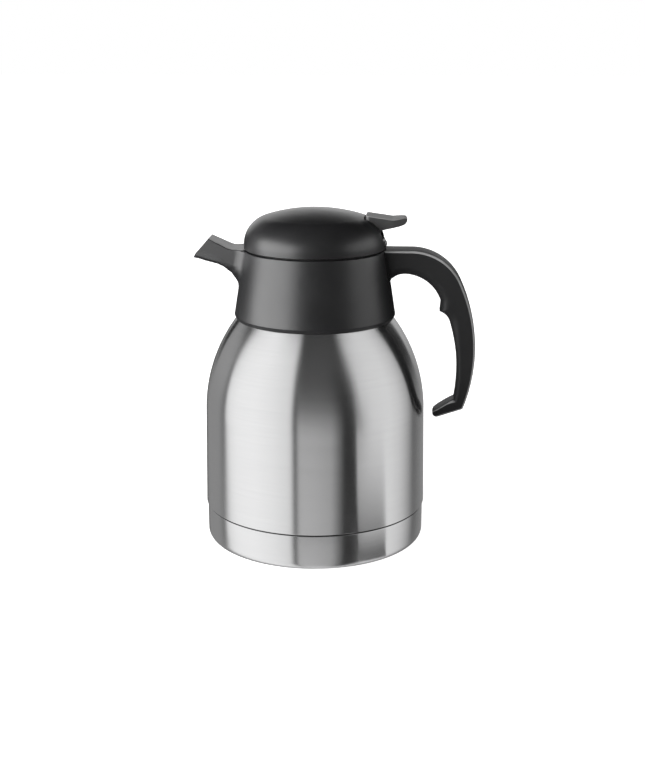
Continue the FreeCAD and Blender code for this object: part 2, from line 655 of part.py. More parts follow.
def handle_outline():
    """Side view, from the root round the back to the hook and up the finger side."""
    back_x = BODY_R + HANDLE_REACH
    grip_x = back_x - HANDLE_THICKNESS
    top_z = RIM_Z + HANDLE_PROUD
    back = (back_x - HANDLE_BACK_ARC, drop(HANDLE_BACK_DROP))
    spread = HANDLE_BACK_ARC - HANDLE_BEND
    turn = angle_at(back, spread, top_z - HANDLE_BEND)
    bend = on_circle(back, spread, turn)
    nose = (BODY_R + HOOK_GAP + HOOK_NOSE_ROUND, drop(HOOK_NOSE_DROP))
    grip = (grip_x - GRIP_ARC, drop(GRIP_DROP))
    grip_low = angle_at(grip, GRIP_ARC, drop(GRIP_FOOT_DROP))
    grip_high = angle_at(grip, GRIP_ARC, drop(GRIP_TOP_DROP))
    scoop = on_circle(grip, GRIP_ARC - FINGER_SCOOP, grip_high)
    stop_x = grip_x - FINGER_STOP_IN
    stop_angle = math.degrees(math.acos((stop_x - scoop[0]) / FINGER_SCOOP))
    stop_z = on_circle(scoop, FINGER_SCOOP, stop_angle)[1] + FINGER_STOP_HEIGHT
    arch_z = drop(ARCH_DROP) - ARCH_ROUND
    arch = (stop_x - math.sqrt(ARCH_ROUND**2 - (stop_z - arch_z) ** 2), arch_z)
    root = (collar_radius(drop(HANDLE_ROOT_HEIGHT)), drop(HANDLE_ROOT_HEIGHT))
    heel, heel_r = tangent_circle(arch, ARCH_ROUND, ARCH_TURN, root)
    root_angle = math.degrees(math.atan2(root[1] - heel[1], root[0] - heel[0]))
    nose_under = 270 + HOOK_UNDER_SLOPE
    return wire(
        (SCREW_SEAT_X, top_z),
        (bend[0], top_z),
        arc_to(bend, HANDLE_BEND, 90, turn),
        arc_to(back, HANDLE_BACK_ARC, turn, angle_at(back, HANDLE_BACK_ARC, drop(HOOK_BACK_DROP))),
        on_circle(nose, HOOK_NOSE_ROUND, nose_under),
        arc_to(nose, HOOK_NOSE_ROUND, nose_under, 90 + HOOK_TOP_SLOPE),
        on_circle(grip, GRIP_ARC, grip_low),
        arc_to(grip, GRIP_ARC, grip_low, grip_high),
        arc_to(scoop, FINGER_SCOOP, grip_high, stop_angle),
        (stop_x, stop_z),
        arc_to(arch, ARCH_ROUND, angle_at(arch, ARCH_ROUND, stop_z), ARCH_TURN),
        arc_to(heel, heel_r, ARCH_TURN, root_angle % 360),
        (SCREW_SEAT_X, root[1]),
    )


def handle():
    wide, narrow = HANDLE_ROOT_WIDTH / 2, HANDLE_TIP_WIDTH / 2
    high, taper_z, low = RIM_Z + BEYOND, drop(HANDLE_ROOT_HEIGHT), drop(HOOK_NOSE_DROP + BEYOND)
    places = ((-wide, high), (-wide, taper_z), (-narrow, low), (narrow, low), (wide, taper_z), (wide, high))
    sides = prism([Vector(0, y, z) for y, z in places], OUTWARDS * (2 * (BODY_R + HANDLE_REACH)))
    bar = one_solid(slab(handle_outline(), HANDLE_ROOT_WIDTH).common(sides))
    rims = []
    for edge in bar.Edges:
        box = edge.BoundBox
        one_side = box.YMin * box.YMax > 0
        at_root = box.XMax < SCREW_SEAT_X + FIT
        level = box.ZLength < 1e-6 and abs(box.ZMin - taper_z) < 1e-3
        taper_line = level and box.XMax > COLLAR_EDGE_R + BEYOND
        if one_side and not at_root and not taper_line:
            rims.append(edge)
    bar = bar.makeFillet(min(HANDLE_EDGE_ROUND, HOOK_NOSE_ROUND), rims)
    bar = bar.cut(collar_cone(PAD_PROUD + STEEL_FIT, RIM_Z + BEYOND))
    for seat in SCREW_PLACES:
        bar = bar.cut(screw_shape(seat, RUN))
    return one_solid(bar)


parts["handle"] = handle()
parts["handle_screws"] = Part.makeCompound([screw_shape(seat, 0) for seat in SCREW_PLACES])


# Stopper: the lid's lower half, with deck, pouring windows, valve seat and thread
STEM_GROOVE_Z = DOME_FOOT_Z + (DECK_THICKNESS - STEM_SEAL_WIRE) / 2
STEM_SEAL_R = STEM_R + RUN + STEM_SEAL_WIRE / 2


def stopper():
    spigot_r = STOPPER_R - STOPPER_GASKET_WIDTH
    bead_r = SEAT_R - STOPPER_GASKET_WIDTH / 4
    bead_z = SEAT_Z - FIT
    foot_z = bead_z - STOPPER_BEAD_HEIGHT
    inner_r = STOPPER_R - STOPPER_WALL
    seat_r = VALVE_SEAT_DIAMETER / 2
    body = turned(
        (seat_r, STOPPER_FOOT_Z),
        (spigot_r - STOPPER_WALL, STOPPER_FOOT_Z),
        (spigot_r - STOPPER_WALL, foot_z),
        (bead_r, foot_z),
        (bead_r, bead_z),
        (spigot_r, bead_z),
        (spigot_r, STOPPER_FOOT_Z),
        (STOPPER_R, STOPPER_FOOT_Z),
        (STOPPER_R, DOME_FOOT_Z),
        (DECK_R, DOME_FOOT_Z),
        (DECK_R, DECK_TOP_Z),
        (STEM_R + RUN, DECK_TOP_Z),
        (STEM_R + RUN, DOME_FOOT_Z),
        (inner_r, DOME_FOOT_Z),
        (inner_r, FLOOR_TOP_Z),
        (seat_r, FLOOR_TOP_Z),
    )
    groove_r = STEM_SEAL_R + STEM_SEAL_WIRE / 2
    body = body.cut(ring(STEM_R, groove_r, STEM_GROOVE_Z, STEM_GROOVE_Z + STEM_SEAL_WIRE))
    high = DOME_FOOT_Z - WINDOW_DROP
    half = WINDOW_WIDTH / 2
    window = block((inner_r - BEYOND / 4, -half, high - WINDOW_HEIGHT), (STOPPER_R + BEYOND, half, high))
    for n in range(WINDOW_COUNT):
        body = body.cut(round_the_axis(window, n * 360 / WINDOW_COUNT))
    for lug in thread_lugs(STOPPER_R, 1, STOPPER_THREAD_Z):
        body = body.fuse(lug)
    return one_solid(body)


parts["stopper"] = stopper()
parts["stopper_gasket"] = ring(
    STOPPER_R - STOPPER_GASKET_WIDTH + FIT / 2, STOPPER_R, SEAT_Z, SEAT_Z + STOPPER_GASKET_THICKNESS
)
parts["lid_seal"] = ring(THROAT_R + FIT, DECK_R, RIM_Z, DOME_FOOT_Z)
parts["stem_seal"] = Part.makeTorus(
    STEM_SEAL_R, STEM_SEAL_WIRE / 2 - RUN, UP * (STEM_GROOVE_Z + STEM_SEAL_WIRE / 2)
)


# Dome: the lid's cover, with a slot for the lever, cheeks for its pin and a nib below the slot
SHOULDER_CENTRE = (DOME_R - DOME_SHOULDER, DOME_FOOT_Z + DOME_SIDE)
CROWN_DROP = math.sqrt((DOME_CROWN - DOME_SHOULDER) ** 2 - SHOULDER_CENTRE[0] ** 2)
CROWN_CENTRE = (0.0, SHOULDER_CENTRE[1] - CROWN_DROP)
DOME_TOP_Z = CROWN_CENTRE[1] + DOME_CROWN
PIVOT_Z = DECK_TOP_Z + PIVOT_RISE
SLOT_HALF = LEVER_WIDTH / 2 + 1.5 * FIT
SLOT_FRONT = LEVER_FRONT - SLOT_ROOM


def dome_solid(inset, edge_round):
    """Solid inside the dome's surface, inset from it, with its lower edge rounded."""
    side_r = DOME_R - inset
    turn = math.degrees(math.atan2(CROWN_DROP, SHOULDER_CENTRE[0]))
    edge = (side_r - edge_round, DOME_FOOT_Z + edge_round)
    return turned(
        (0, DOME_FOOT_Z),
        (edge[0], DOME_FOOT_Z),
        arc_to(edge, edge_round, -90, 0),
        (side_r, SHOULDER_CENTRE[1]),
        arc_to(SHOULDER_CENTRE, DOME_SHOULDER - inset, 0, turn),
        arc_to(CROWN_CENTRE, DOME_CROWN - inset, turn, 90),
    )


def dome_nib():
    """Rounded nib on the dome's side, below the slot."""
    nib_z = DOME_FOOT_Z + NIB_RISE
    nib_r = DOME_R - NIB_ROUND / 2
    bar = Part.makeTorus(nib_r, NIB_ROUND, UP * nib_z, UP, 0, 360, NIB_SPAN)
    nib = round_the_axis(bar, -NIB_SPAN / 2)
    for side in (-1, 1):
        x, y = on_circle((0, 0), nib_r, side * NIB_SPAN / 2)
        nib = nib.fuse(Part.makeSphere(NIB_ROUND, Vector(x, y, nib_z)))
    return nib


def lid_dome():
    inner_r = DOME_R - DOME_WALL
    hollow = dome_solid(DOME_WALL, DOME_EDGE_ROUND)
    hollow = hollow.fuse(cylinder(inner_r, DOME_FOOT_Z - BEYOND, DECK_TOP_Z))
    ledge = ring(inner_r - DOME_WALL, inner_r + FIT, DECK_TOP_Z, DECK_TOP_Z + DOME_WALL)
    outer_half = SLOT_HALF + CHEEK_WALL
    far, high = DOME_R + BEYOND, DOME_TOP_Z + BEYOND
    slot = block((SLOT_FRONT, -SLOT_HALF, DOME_FOOT_Z + SLOT_FLOOR), (far, SLOT_HALF, high))
    cheeks = block((SLOT_FRONT - CHEEK_WALL, -outer_half, DECK_TOP_Z + DOME_WALL), (far, outer_half, high))
    cheeks = cheeks.cut(block((0, -SLOT_HALF, 0), (far, SLOT_HALF, high)))
    wall_low = PIVOT_Z + PIVOT_BOSS / 2
    wall = block((SLOT_FRONT - CHEEK_WALL, -SLOT_HALF, wall_low), (SLOT_FRONT, SLOT_HALF, high))
    ribs = cheeks.fuse(wall).common(dome_solid(DOME_WALL / 2, DOME_EDGE_ROUND))
    nib = dome_nib().cut(cylinder(inner_r + DOME_WALL / 2, 0, high))
    shape = dome_solid(0, DOME_EDGE_ROUND).cut(hollow).cut(slot).fuse(ledge).fuse(ribs).fuse(nib)
    shape = shape.cut(crossbar(PIVOT_DIAMETER / 2 + RUN / 2, PIVOT_OUT, PIVOT_Z, outer_half))
    return one_solid(shape)


parts["lid_dome"] = lid_dome()
parts["lever_pin"] = crossbar(PIVOT_DIAMETER / 2, PIVOT_OUT, PIVOT_Z, SLOT_HALF + CHEEK_WALL - FIT)


# Thumb lever: a plate at the back of the lid on a cross pin, with a fork that lifts the valve stem
def lever_head():
    """Thumb plate and the root that carries it, the full width of the slot."""
    front_z = DOME_TOP_Z - LEVER_DROP
    dip_z = front_z - LEVER_FALL
    end_z = dip_z + LEVER_TURN_UP
    boss_r = PIVOT_BOSS / 2
    nose = (LEVER_END - LEVER_NOSE, end_z - LEVER_NOSE)
    under_z = dip_z - LEVER_PLATE
    root_x = PIVOT_OUT + boss_r
    head = slab(
        wire(
            (LEVER_FRONT, front_z),
            ((LEVER_DIP, dip_z), on_circle(nose, LEVER_NOSE, 105)),
            arc_to(nose, LEVER_NOSE, 105, -60),
            ((LEVER_DIP + LEVER_PLATE, under_z + LEVER_PLATE / 4), (LEVER_DIP, under_z)),
            (root_x + boss_r / 2, under_z - boss_r / 4),
            (root_x, PIVOT_Z),
            (PIVOT_OUT - boss_r, PIVOT_Z),
            (LEVER_FRONT, PIVOT_Z + boss_r),
        ),
        LEVER_WIDTH / 2,
    )
    plate = [e for e in head.Edges if e.CenterOfMass.z > under_z - boss_r / 2]
    return head.makeFillet(LEVER_EDGE_ROUND, [e for e in plate if e.BoundBox.XLength > LEVER_EDGE_ROUND / 2])


def thumb_lever():
    boss = crossbar(PIVOT_BOSS / 2, PIVOT_OUT, PIVOT_Z, LEVER_WIDTH / 2)
    gap = STEM_R + FORK_SIDE
    half = gap + FORK_PRONG
    arm = block((-gap, -half, FORK_TOP_Z - FORK_THICKNESS), (PIVOT_OUT, half, FORK_TOP_Z))
    notch = block((-gap - BEYOND, -gap, 0), (gap, gap, FORK_TOP_Z + BEYOND))
    notch = notch.fuse(cylinder(gap, 0, FORK_TOP_Z + BEYOND).translated(OUTWARDS * gap))
    bore = crossbar(PIVOT_DIAMETER / 2 + RUN, PIVOT_OUT, PIVOT_Z, LEVER_WIDTH)
    return one_solid(lever_head().fuse(boss).fuse(arm.cut(notch)).cut(bore))


parts["thumb_lever"] = thumb_lever()


# Pouring valve: disc and gasket on a stem, held shut by a spring, lifted at the cap by the fork
VALVE_SPIGOT_R = VALVE_SEAT_DIAMETER / 2 - VALVE_SPIGOT_GAP
VALVE_DISC_R = VALVE_SEAT_DIAMETER / 2 + VALVE_OVERLAP
VALVE_HUB_R = STEM_R + RUN + VALVE_HUB_WALL


def valve_disc():
    bead_r = VALVE_SPIGOT_R + VALVE_BEAD
    bead_top = FLOOR_TOP_Z - FIT / 2
    hub_top = DISC_TOP_Z + VALVE_HUB_HEIGHT
    return turned(
        (0, STOPPER_FOOT_Z),
        (bead_r, STOPPER_FOOT_Z),
        (bead_r, bead_top),
        (VALVE_SPIGOT_R, bead_top),
        (VALVE_SPIGOT_R, DISC_Z),
        (VALVE_DISC_R, DISC_Z),
        (VALVE_DISC_R, DISC_TOP_Z),
        (VALVE_HUB_R, DISC_TOP_Z),
        (VALVE_HUB_R, hub_top),
        (STEM_R + RUN, hub_top),
        (STEM_R + RUN, DISC_Z),
        (0, DISC_Z),
    )


def valve_stem():
    top = CAP_Z + STEM_CAP_THICKNESS
    return turned(
        (0, DISC_Z),
        (STEM_R, DISC_Z),
        (STEM_R, CAP_Z),
        (STEM_NECK_R, CAP_Z),
        (STEM_NECK_R, top),
        (0, top),
    )


parts["valve_disc"] = valve_disc()
parts["valve_gasket"] = ring(
    VALVE_SPIGOT_R + FIT / 2, VALVE_DISC_R - VALVE_GASKET_THICKNESS, FLOOR_TOP_Z, DISC_Z
)
parts["valve_stem"] = valve_stem()
parts["stem_cap"] = ring(STEM_NECK_R + RUN, STEM_CAP_R, CAP_Z, CAP_Z + STEM_CAP_THICKNESS)


# Valve spring: one unbroken wire, wound as tangent arcs along a helix
def arc_from(start, along, end):
    """Arc that leaves start in a direction and ends at end."""
    chord = end - start
    sideways = along - chord * (along.dot(chord) / chord.dot(chord))
    bulge = chord.Length / 2 * math.tan(along.getAngle(chord) / 2)
    return Part.Arc(start, (start + end) / 2 + sideways.normalize() * bulge, end).toShape()


def biarc(start, along, end, onward):
    """Two arcs, tangent to each other and to the directions at both ends."""
    gap = end - start
    bend = 2 * (1 - along.dot(onward))
    pull = gap.dot(along + onward)
    reach = (math.sqrt(pull**2 + bend * gap.dot(gap)) - pull) / bend
    meet = (start + end + (along - onward) * reach) / 2
    between = (end - onward * reach) - (start + along * reach)
    return [arc_from(start, along, meet), arc_from(meet, between.normalize(), end)]


def valve_spring():
    radius = VALVE_HUB_R + SPRING_ROOM + SPRING_WIRE / 2
    low = DISC_TOP_Z + SPRING_WIRE / 2 + FIT
    pitch = (DOME_FOOT_Z - SPRING_WIRE / 2 - FIT - low) / SPRING_TURNS
    quarters = 4 * SPRING_TURNS

    def place(n):
        """Point on the helix after n quarter turns, and the direction there."""
        a = n * math.pi / 2
        spot = Vector(radius * math.cos(a), radius * math.sin(a), low + n * pitch / 4)
        way = Vector(-radius * math.sin(a), radius * math.cos(a), pitch / (2 * math.pi))
        return spot, way.normalize()

    edges = []
    for n in range(quarters):
        edges += biarc(*place(n), *place(n + 1))
    start, along = place(0)
    path = Part.Wire(edges)
    section = Part.Wire(Part.Circle(start, along, SPRING_WIRE / 2).toShape())
    coil = path.makePipeShell([section], True, False)
    points = path.discretize(40 * SPRING_TURNS)
    gaps = [a.distanceToPoint(b) for i, a in enumerate(points) for b in points[i + 20:]]
    swept = math.pi * SPRING_WIRE**2 / 4 * path.Length
    least = min(gaps) - SPRING_WIRE
    print(f"valve_spring: least gap {least:.2f} mm, volume {coil.Volume:.1f} of {swept:.1f} mm3")
    return coil.Solids[0]


parts["valve_spring"] = valve_spring()

os.makedirs("parts", exist_ok=True)
for name, shape in parts.items():
    if not shape.isValid():
        raise ValueError(f"{name} isn't valid")
    shape.exportStep(f"parts/{name}.step")
print(f"{len(parts)} nodes: mouth {MOUTH_Z:.3f}, rim {RIM_Z:.3f}, crown {DOME_TOP_Z:.3f}")
print(f"dome foot {DOME_FOOT_Z:.3f}, lever pivot {PIVOT_Z:.3f}, seat {SEAT_Z:.3f}")
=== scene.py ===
import math

import bpy
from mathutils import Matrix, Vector


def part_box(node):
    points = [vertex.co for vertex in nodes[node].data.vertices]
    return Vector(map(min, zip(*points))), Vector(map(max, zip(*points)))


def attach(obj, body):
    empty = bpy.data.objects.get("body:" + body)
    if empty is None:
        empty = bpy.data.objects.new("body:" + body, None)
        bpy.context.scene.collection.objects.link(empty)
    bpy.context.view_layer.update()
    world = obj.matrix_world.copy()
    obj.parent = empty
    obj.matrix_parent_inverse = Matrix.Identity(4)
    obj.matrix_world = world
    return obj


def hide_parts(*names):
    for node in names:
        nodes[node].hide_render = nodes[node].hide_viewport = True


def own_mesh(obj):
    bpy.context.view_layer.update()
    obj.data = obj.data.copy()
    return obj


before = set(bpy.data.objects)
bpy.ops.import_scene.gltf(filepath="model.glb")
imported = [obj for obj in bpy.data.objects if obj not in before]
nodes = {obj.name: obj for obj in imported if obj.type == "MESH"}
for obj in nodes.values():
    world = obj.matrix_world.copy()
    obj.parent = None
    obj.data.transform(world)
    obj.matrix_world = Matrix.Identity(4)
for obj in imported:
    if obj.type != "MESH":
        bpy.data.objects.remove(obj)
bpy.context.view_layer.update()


# Inner bottle and the plate that closes the vacuum under it: deep-drawn stainless steel sheet,
# welded to the barrel at the mouth and to its foot. Drawing leaves a bright, slightly cloudy face
# with faint marks that run up the wall.
MM = 0.001


def linear(hex_colour):
    """Linear RGBA of an sRGB hex colour."""
    shares = [int(hex_colour[i:i + 2], 16) / 255 for i in (0, 2, 4)]
    return (*(c / 12.92 if c <= 0.04045 else ((c + 0.055) / 1.055) ** 2.4 for c in shares), 1.0)


def add(tree, kind, inputs=(), **settings):
    """Adds a shader node. Each input is a plain value or the output that is linked to it."""
    node = tree.nodes.new("ShaderNode" + kind)
    for name, value in settings.items():
        setattr(node, name, value)
    for name, value in dict(inputs).items():
        if isinstance(value, bpy.types.NodeSocket):
            tree.links.new(value, node.inputs[name])
        else:
            node.inputs[name].default_value = value
    return node


def new_material(name):
    """An empty material, its node tree, and the place on the piece that its pattern is drawn from."""
    made = bpy.data.materials.new(name)
    made.use_nodes = True
    made.node_tree.nodes.clear()
    return made, made.node_tree, add(made.node_tree, "TexCoord").outputs["Object"]


def dress(made, *names):
    """Gives CAD nodes a material."""
    for name in names:
        nodes[name].data.materials.clear()
        nodes[name].data.materials.append(made)


def drawn_steel():
    mark_width, mark_length = 1.2 * MM, 70 * MM
    cloud_size = 18 * MM
    made, tree, place = new_material("drawn_stainless_steel")
    stretch = (1 / mark_width, 1 / mark_width, 1 / mark_length)
    marks = add(tree, "Mapping", {"Vector": place, "Scale": stretch})
    marks = add(tree, "TexNoise", {"Vector": marks.outputs["Vector"], "Scale": 1.0, "Detail": 3.0})
    clouds = add(tree, "TexNoise", {"Vector": place, "Scale": 1 / cloud_size, "Detail": 2.0})
    tint = {"Fac": clouds.outputs["Fac"], "Color1": linear("b3b4b6"), "Color2": linear("c8c9ca")}
    tint = add(tree, "MixRGB", tint)
    rough = add(tree, "MapRange", {"Value": marks.outputs["Fac"], "To Min": 0.2, "To Max": 0.34})
    relief = {"Height": marks.outputs["Fac"], "Strength": 0.15, "Distance": 0.02 * MM}
    shader = add(tree, "BsdfPrincipled", {
        "Base Color": tint.outputs["Color"],
        "Metallic": 1.0,
        "Roughness": rough.outputs["Result"],
        "Normal": add(tree, "Bump", relief).outputs["Normal"],
    })
    add(tree, "OutputMaterial", {"Surface": shader.outputs["BSDF"]})
    return made


dress(drawn_steel(), "flask_liner", "bottom_plate")


# Getter: a pellet of sintered metal powder, spot-welded inside the vacuum to soak up stray gas.
# Pressed powder is dull and grey, with grains that catch the light one by one.
def sintered_metal():
    grain = 0.4 * MM
    made, tree, place = new_material("sintered_metal")
    grains = add(tree, "TexVoronoi", {"Vector": place, "Scale": 1 / grain})
    tint = {"Fac": grains.outputs["Distance"], "Color1": linear("5c5b5a"), "Color2": linear("8b8a88")}
    relief = {"Height": grains.outputs["Distance"], "Strength": 0.6, "Distance": 0.1 * MM}
    shader = add(tree, "BsdfPrincipled", {
        "Base Color": add(tree, "MixRGB", tint).outputs["Color"],
        "Metallic": 0.8,
        "Roughness": 0.62,
        "Normal": add(tree, "Bump", relief).outputs["Normal"],
    })
    add(tree, "OutputMaterial", {"Surface": shader.outputs["BSDF"]})
    return made


dress(sintered_metal(), "getter")


# Seal bead: solder glass that was melted over the pumping-out hole in the bottom plate.
# It set as a dark glossy drop, a little streaky and with a faint orange-peel skin.
def solder_glass():
    streak, peel = 2.5 * MM, 0.8 * MM
    made, tree, place = new_material("solder_glass")
    streaks = add(tree, "TexNoise", {"Vector": place, "Scale": 1 / streak, "Distortion": 1.5})
    skin = add(tree, "TexNoise", {"Vector": place, "Scale": 1 / peel})
    tint = {"Fac": streaks.outputs["Fac"], "Color1": linear("2b2f33"), "Color2": linear("5a6065")}
    relief = {"Height": skin.outputs["Fac"], "Strength": 0.2, "Distance": 0.05 * MM}
    shader = add(tree, "BsdfPrincipled", {
        "Base Color": add(tree, "MixRGB", tint).outputs["Color"],
        "Roughness": 0.12,
        "IOR": 1.6,
        "Normal": add(tree, "Bump", relief).outputs["Normal"],
    })
    add(tree, "OutputMaterial", {"Surface": shader.outputs["BSDF"]})
    return made


dress(solder_glass(), "seal_bead")


# Barrel: the outer shell, drawn from stainless sheet, necked in at the top and rolled to an edge
# above the seam. It is brushed while it turns, so fine lines run round it, and they smear
# reflections up and down while keeping them crisp from side to side.
MERGE_WITHIN = 0.001 * MM


def arc(centre, radius, start, end, steps):
    """Points of an arc in the XZ plane, from one angle in degrees to another."""
    turns = [math.radians(start + (end - start) * n / steps) for n in range(steps + 1)]
    return [(centre[0] + radius * math.cos(a), centre[1] + radius * math.sin(a)) for a in turns]


def draw_line(name, points):
    """A new piece that is one line of edges through points (x, y, z), left in edit mode."""
    bpy.ops.object.select_all(action="DESELECT")
    bpy.ops.mesh.primitive_plane_add(size=MM, location=(0, 0, 0))
    piece = bpy.context.object
    piece.name = piece.data.name = name
    bpy.ops.object.mode_set(mode="EDIT")
    bpy.ops.mesh.select_all(action="SELECT")
    bpy.ops.mesh.merge(type="CENTER")
    bpy.ops.transform.translate(value=points[0])
    for here, there in zip(points, points[1:]):
        step = Vector(there) - Vector(here)
        bpy.ops.mesh.extrude_region_move(TRANSFORM_OT_translate={"value": step})
    return piece


def spin_shell(name, outline, closed=True, steps=256):
    """An outline of points (radius, height) spun round the jug's axis. An open one ends on the axis."""
    ends = outline[:1] if closed else []
    piece = draw_line(name, [(r, 0, z) for r, z in outline + ends])
    bpy.ops.mesh.select_all(action="SELECT")
    bpy.ops.mesh.spin(steps=steps, angle=2 * math.pi, center=(0, 0, 0), axis=(0, 0, 1))
    bpy.ops.mesh.select_all(action="SELECT")
    bpy.ops.mesh.remove_doubles(threshold=MERGE_WITHIN)
    bpy.ops.mesh.normals_make_consistent(inside=False)
    bpy.ops.object.mode_set(mode="OBJECT")
    bpy.ops.object.shade_smooth_by_angle(angle=math.radians(35))
    return piece


def brushed_steel():
    # Real brush lines are under 0.1 mm wide, so they are drawn wider to show.
    line_width, line_length = 0.35 * MM, 60 * MM
    band_width = 6 * MM
    made, tree, place = new_material("brushed_stainless_steel")
    along = 1 / line_length
    fine = add(tree, "Mapping", {"Vector": place, "Scale": (along, along, 1 / line_width)})
    fine = {"Vector": fine.outputs["Vector"], "Scale": 1.0, "Detail": 4.0, "Roughness": 0.65}
    fine = add(tree, "TexNoise", fine)
    bands = add(tree, "Mapping", {"Vector": place, "Scale": (along, along, 1 / band_width)})
    bands = add(tree, "TexNoise", {"Vector": bands.outputs["Vector"], "Scale": 1.0, "Detail": 2.0})
    tint = {"Fac": fine.outputs["Fac"], "Color1": linear("c4c4c5"), "Color2": linear("d0d0d0")}
    rough = add(tree, "MapRange", {"Value": bands.outputs["Fac"], "To Min": 0.2, "To Max": 0.25})
    relief = {"Height": fine.outputs["Fac"], "Strength": 0.05, "Distance": 0.01 * MM}
    shader = add(tree, "BsdfPrincipled", {
        "Base Color": add(tree, "MixRGB", tint).outputs["Color"],
        "Metallic": 1.0,
        "Roughness": rough.outputs["Result"],
        "Anisotropic": 1.0,
        "Anisotropic Rotation": 0.25,
        "Tangent": add(tree, "Tangent", direction_type="RADIAL", axis="Z").outputs["Tangent"],
        "Normal": add(tree, "Bump", relief).outputs["Normal"],
    })
    add(tree, "OutputMaterial", {"Surface": shader.outputs["BSDF"]})
    return made


STEEL_WALL = 0.6 * MM
SEAM_GAP = 1.0 * MM
CUP_RAISE = 0.4 * MM
SPIGOT_CLEARANCE = 0.15 * MM
EDGE_ROLL = 0.4 * MM
SHOULDER_INSET = 0.9 * MM
SHOULDER_HEIGHT = 82 * MM
SHOULDER_ARC = 96 * MM
NECK_BLEND = 3 * MM
barrel_low, barrel_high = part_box("flask_barrel")
cup_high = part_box("base_cup")[1]
cup_top = cup_high.z + CUP_RAISE
foot_height = cup_top + SEAM_GAP
foot_radius = barrel_high.y
spigot_radius = cup_high.x - STEEL_WALL - SPIGOT_CLEARANCE
shoulder_radius = foot_radius - SHOULDER_INSET
neck_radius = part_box("mouth_gasket")[1].x


def barrel_side(inset):
    """Outline of the barrel from its rolled edge to the mouth, moved inwards by an inset."""
    least_roll = 0.05 * MM
    reach, blend = SHOULDER_ARC - inset, NECK_BLEND + inset
    bow = (shoulder_radius - SHOULDER_ARC, SHOULDER_HEIGHT)
    blend_x = neck_radius + NECK_BLEND
    blend_z = bow[1] + math.sqrt((reach + blend) ** 2 - (blend_x - bow[0]) ** 2)
    meet = math.degrees(math.atan2(blend_z - bow[1], blend_x - bow[0]))
    roll = (foot_radius - EDGE_ROLL, foot_height + EDGE_ROLL)
    return [
        *arc(roll, max(EDGE_ROLL - inset, least_roll), -90, 0, 6),
        *arc(bow, reach, 0, meet, 60),
        *arc((blend_x, blend_z), blend, 180 + meet, 180, 8),
        (neck_radius - inset, barrel_high.z),
    ]


def flask_barrel():
    outline = [(spigot_radius, barrel_low.z), (spigot_radius, foot_height), *barrel_side(0)]
    spigot_inside = spigot_radius - STEEL_WALL
    outline += [*reversed(barrel_side(STEEL_WALL)), (spigot_inside, foot_height + STEEL_WALL)]
    outline += [(spigot_inside, barrel_low.z)]
    return spin_shell("barrel_shell", outline)


steel = brushed_steel()
barrel = flask_barrel()
barrel.data.materials.append(steel)
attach(barrel, "jug")
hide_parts("flask_barrel")


# Base cup: a pressed cup of the same brushed steel, pushed over the barrel's foot and glued.
# Its upper edge is rolled, and it stands on a flat ring round a shallow recess.
def base_cup():
    corner = 4.5 * MM
    ring_width = 8 * MM
    recess = 2 * MM
    roll = STEEL_WALL / 2
    centre = (cup_high.x - corner, corner)
    step = centre[0] - ring_width
    outside = [
        (step - recess, recess),
        (step, 0),
        *arc(centre, corner, -90, 0, 12),
        *arc((cup_high.x - roll, cup_top - roll), roll, 0, 180, 8),
    ]
    inside = [
        *arc(centre, corner - STEEL_WALL, 0, -90, 12),
        (step + STEEL_WALL / 2, STEEL_WALL),
        (step - recess + STEEL_WALL / 2, recess + STEEL_WALL),
    ]
    outline = [(0, recess), *outside, *inside, (0, recess + STEEL_WALL)]
    return spin_shell("base_shell", outline, closed=False)


cup = base_cup()
cup.data.materials.append(steel)
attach(cup, "jug")
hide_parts("base_cup")


# Glue line: black sealant wiped into the seam between the barrel and the base cup; its black also stands
# for the shade in the seam.
# It lies a little below both rolled edges, so the seam reads as one thin dark line.
def sealant_black_and_seam_shade():
    wipe = 5 * MM
    made, tree, place = new_material("sealant_black_and_seam_shade")
    wiped = add(tree, "TexNoise", {"Vector": place, "Scale": 1 / wipe, "Detail": 3.0})
    tint = {"Fac": wiped.outputs["Fac"], "Color1": linear("121212"), "Color2": linear("202020")}
    shader = add(tree, "BsdfPrincipled", {
        "Base Color": add(tree, "MixRGB", tint).outputs["Color"],
        "Roughness": 0.7,
        "IOR": 1.43,
    })
    add(tree, "OutputMaterial", {"Surface": shader.outputs["BSDF"]})
    return made


def glue_and_seam_shade():
    clear, sunk, dip = 0.02 * MM, 0.35 * MM, 0.05 * MM
    inner, outer = spigot_radius + clear, cup_high.x - sunk
    low, high = cup_top + clear, foot_height - clear
    hollow = (outer - dip, (low + high) / 2)
    return spin_shell("glue_and_seam_shade", [(inner, low), (outer, low), hollow, (outer, high), (inner, high)])


seam_fill = glue_and_seam_shade()
seam_fill.data.materials.append(sealant_black_and_seam_shade())
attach(seam_fill, "jug")


# Gaskets: pressed silicone rings at the flask's mouth, under the stopper, round the stem and under
# the valve. Silicone is milky and matt, with a slight dusty bloom.
def silicone():
    bloom = 3 * MM
    made, tree, place = new_material("silicone_rubber")
    dust = add(tree, "TexNoise", {"Vector": place, "Scale": 1 / bloom, "Detail": 4.0})
    tint = {"Fac": dust.outputs["Fac"], "Color1": linear("c9c7c0"), "Color2": linear("e2e0da")}
    rough = add(tree, "MapRange", {"Value": dust.outputs["Fac"], "To Min": 0.5, "To Max": 0.68})
    shader = add(tree, "BsdfPrincipled", {
        "Base Color": add(tree, "MixRGB", tint).outputs["Color"],
        "Roughness": rough.outputs["Result"],
        "IOR": 1.41,
        "Subsurface Weight": 0.3,
        "Subsurface Scale": 2 * MM,
    })
    add(tree, "OutputMaterial", {"Surface": shader.outputs["BSDF"]})
    return made


dress(silicone(), "mouth_gasket", "stopper_gasket", "stem_seal", "valve_gasket")


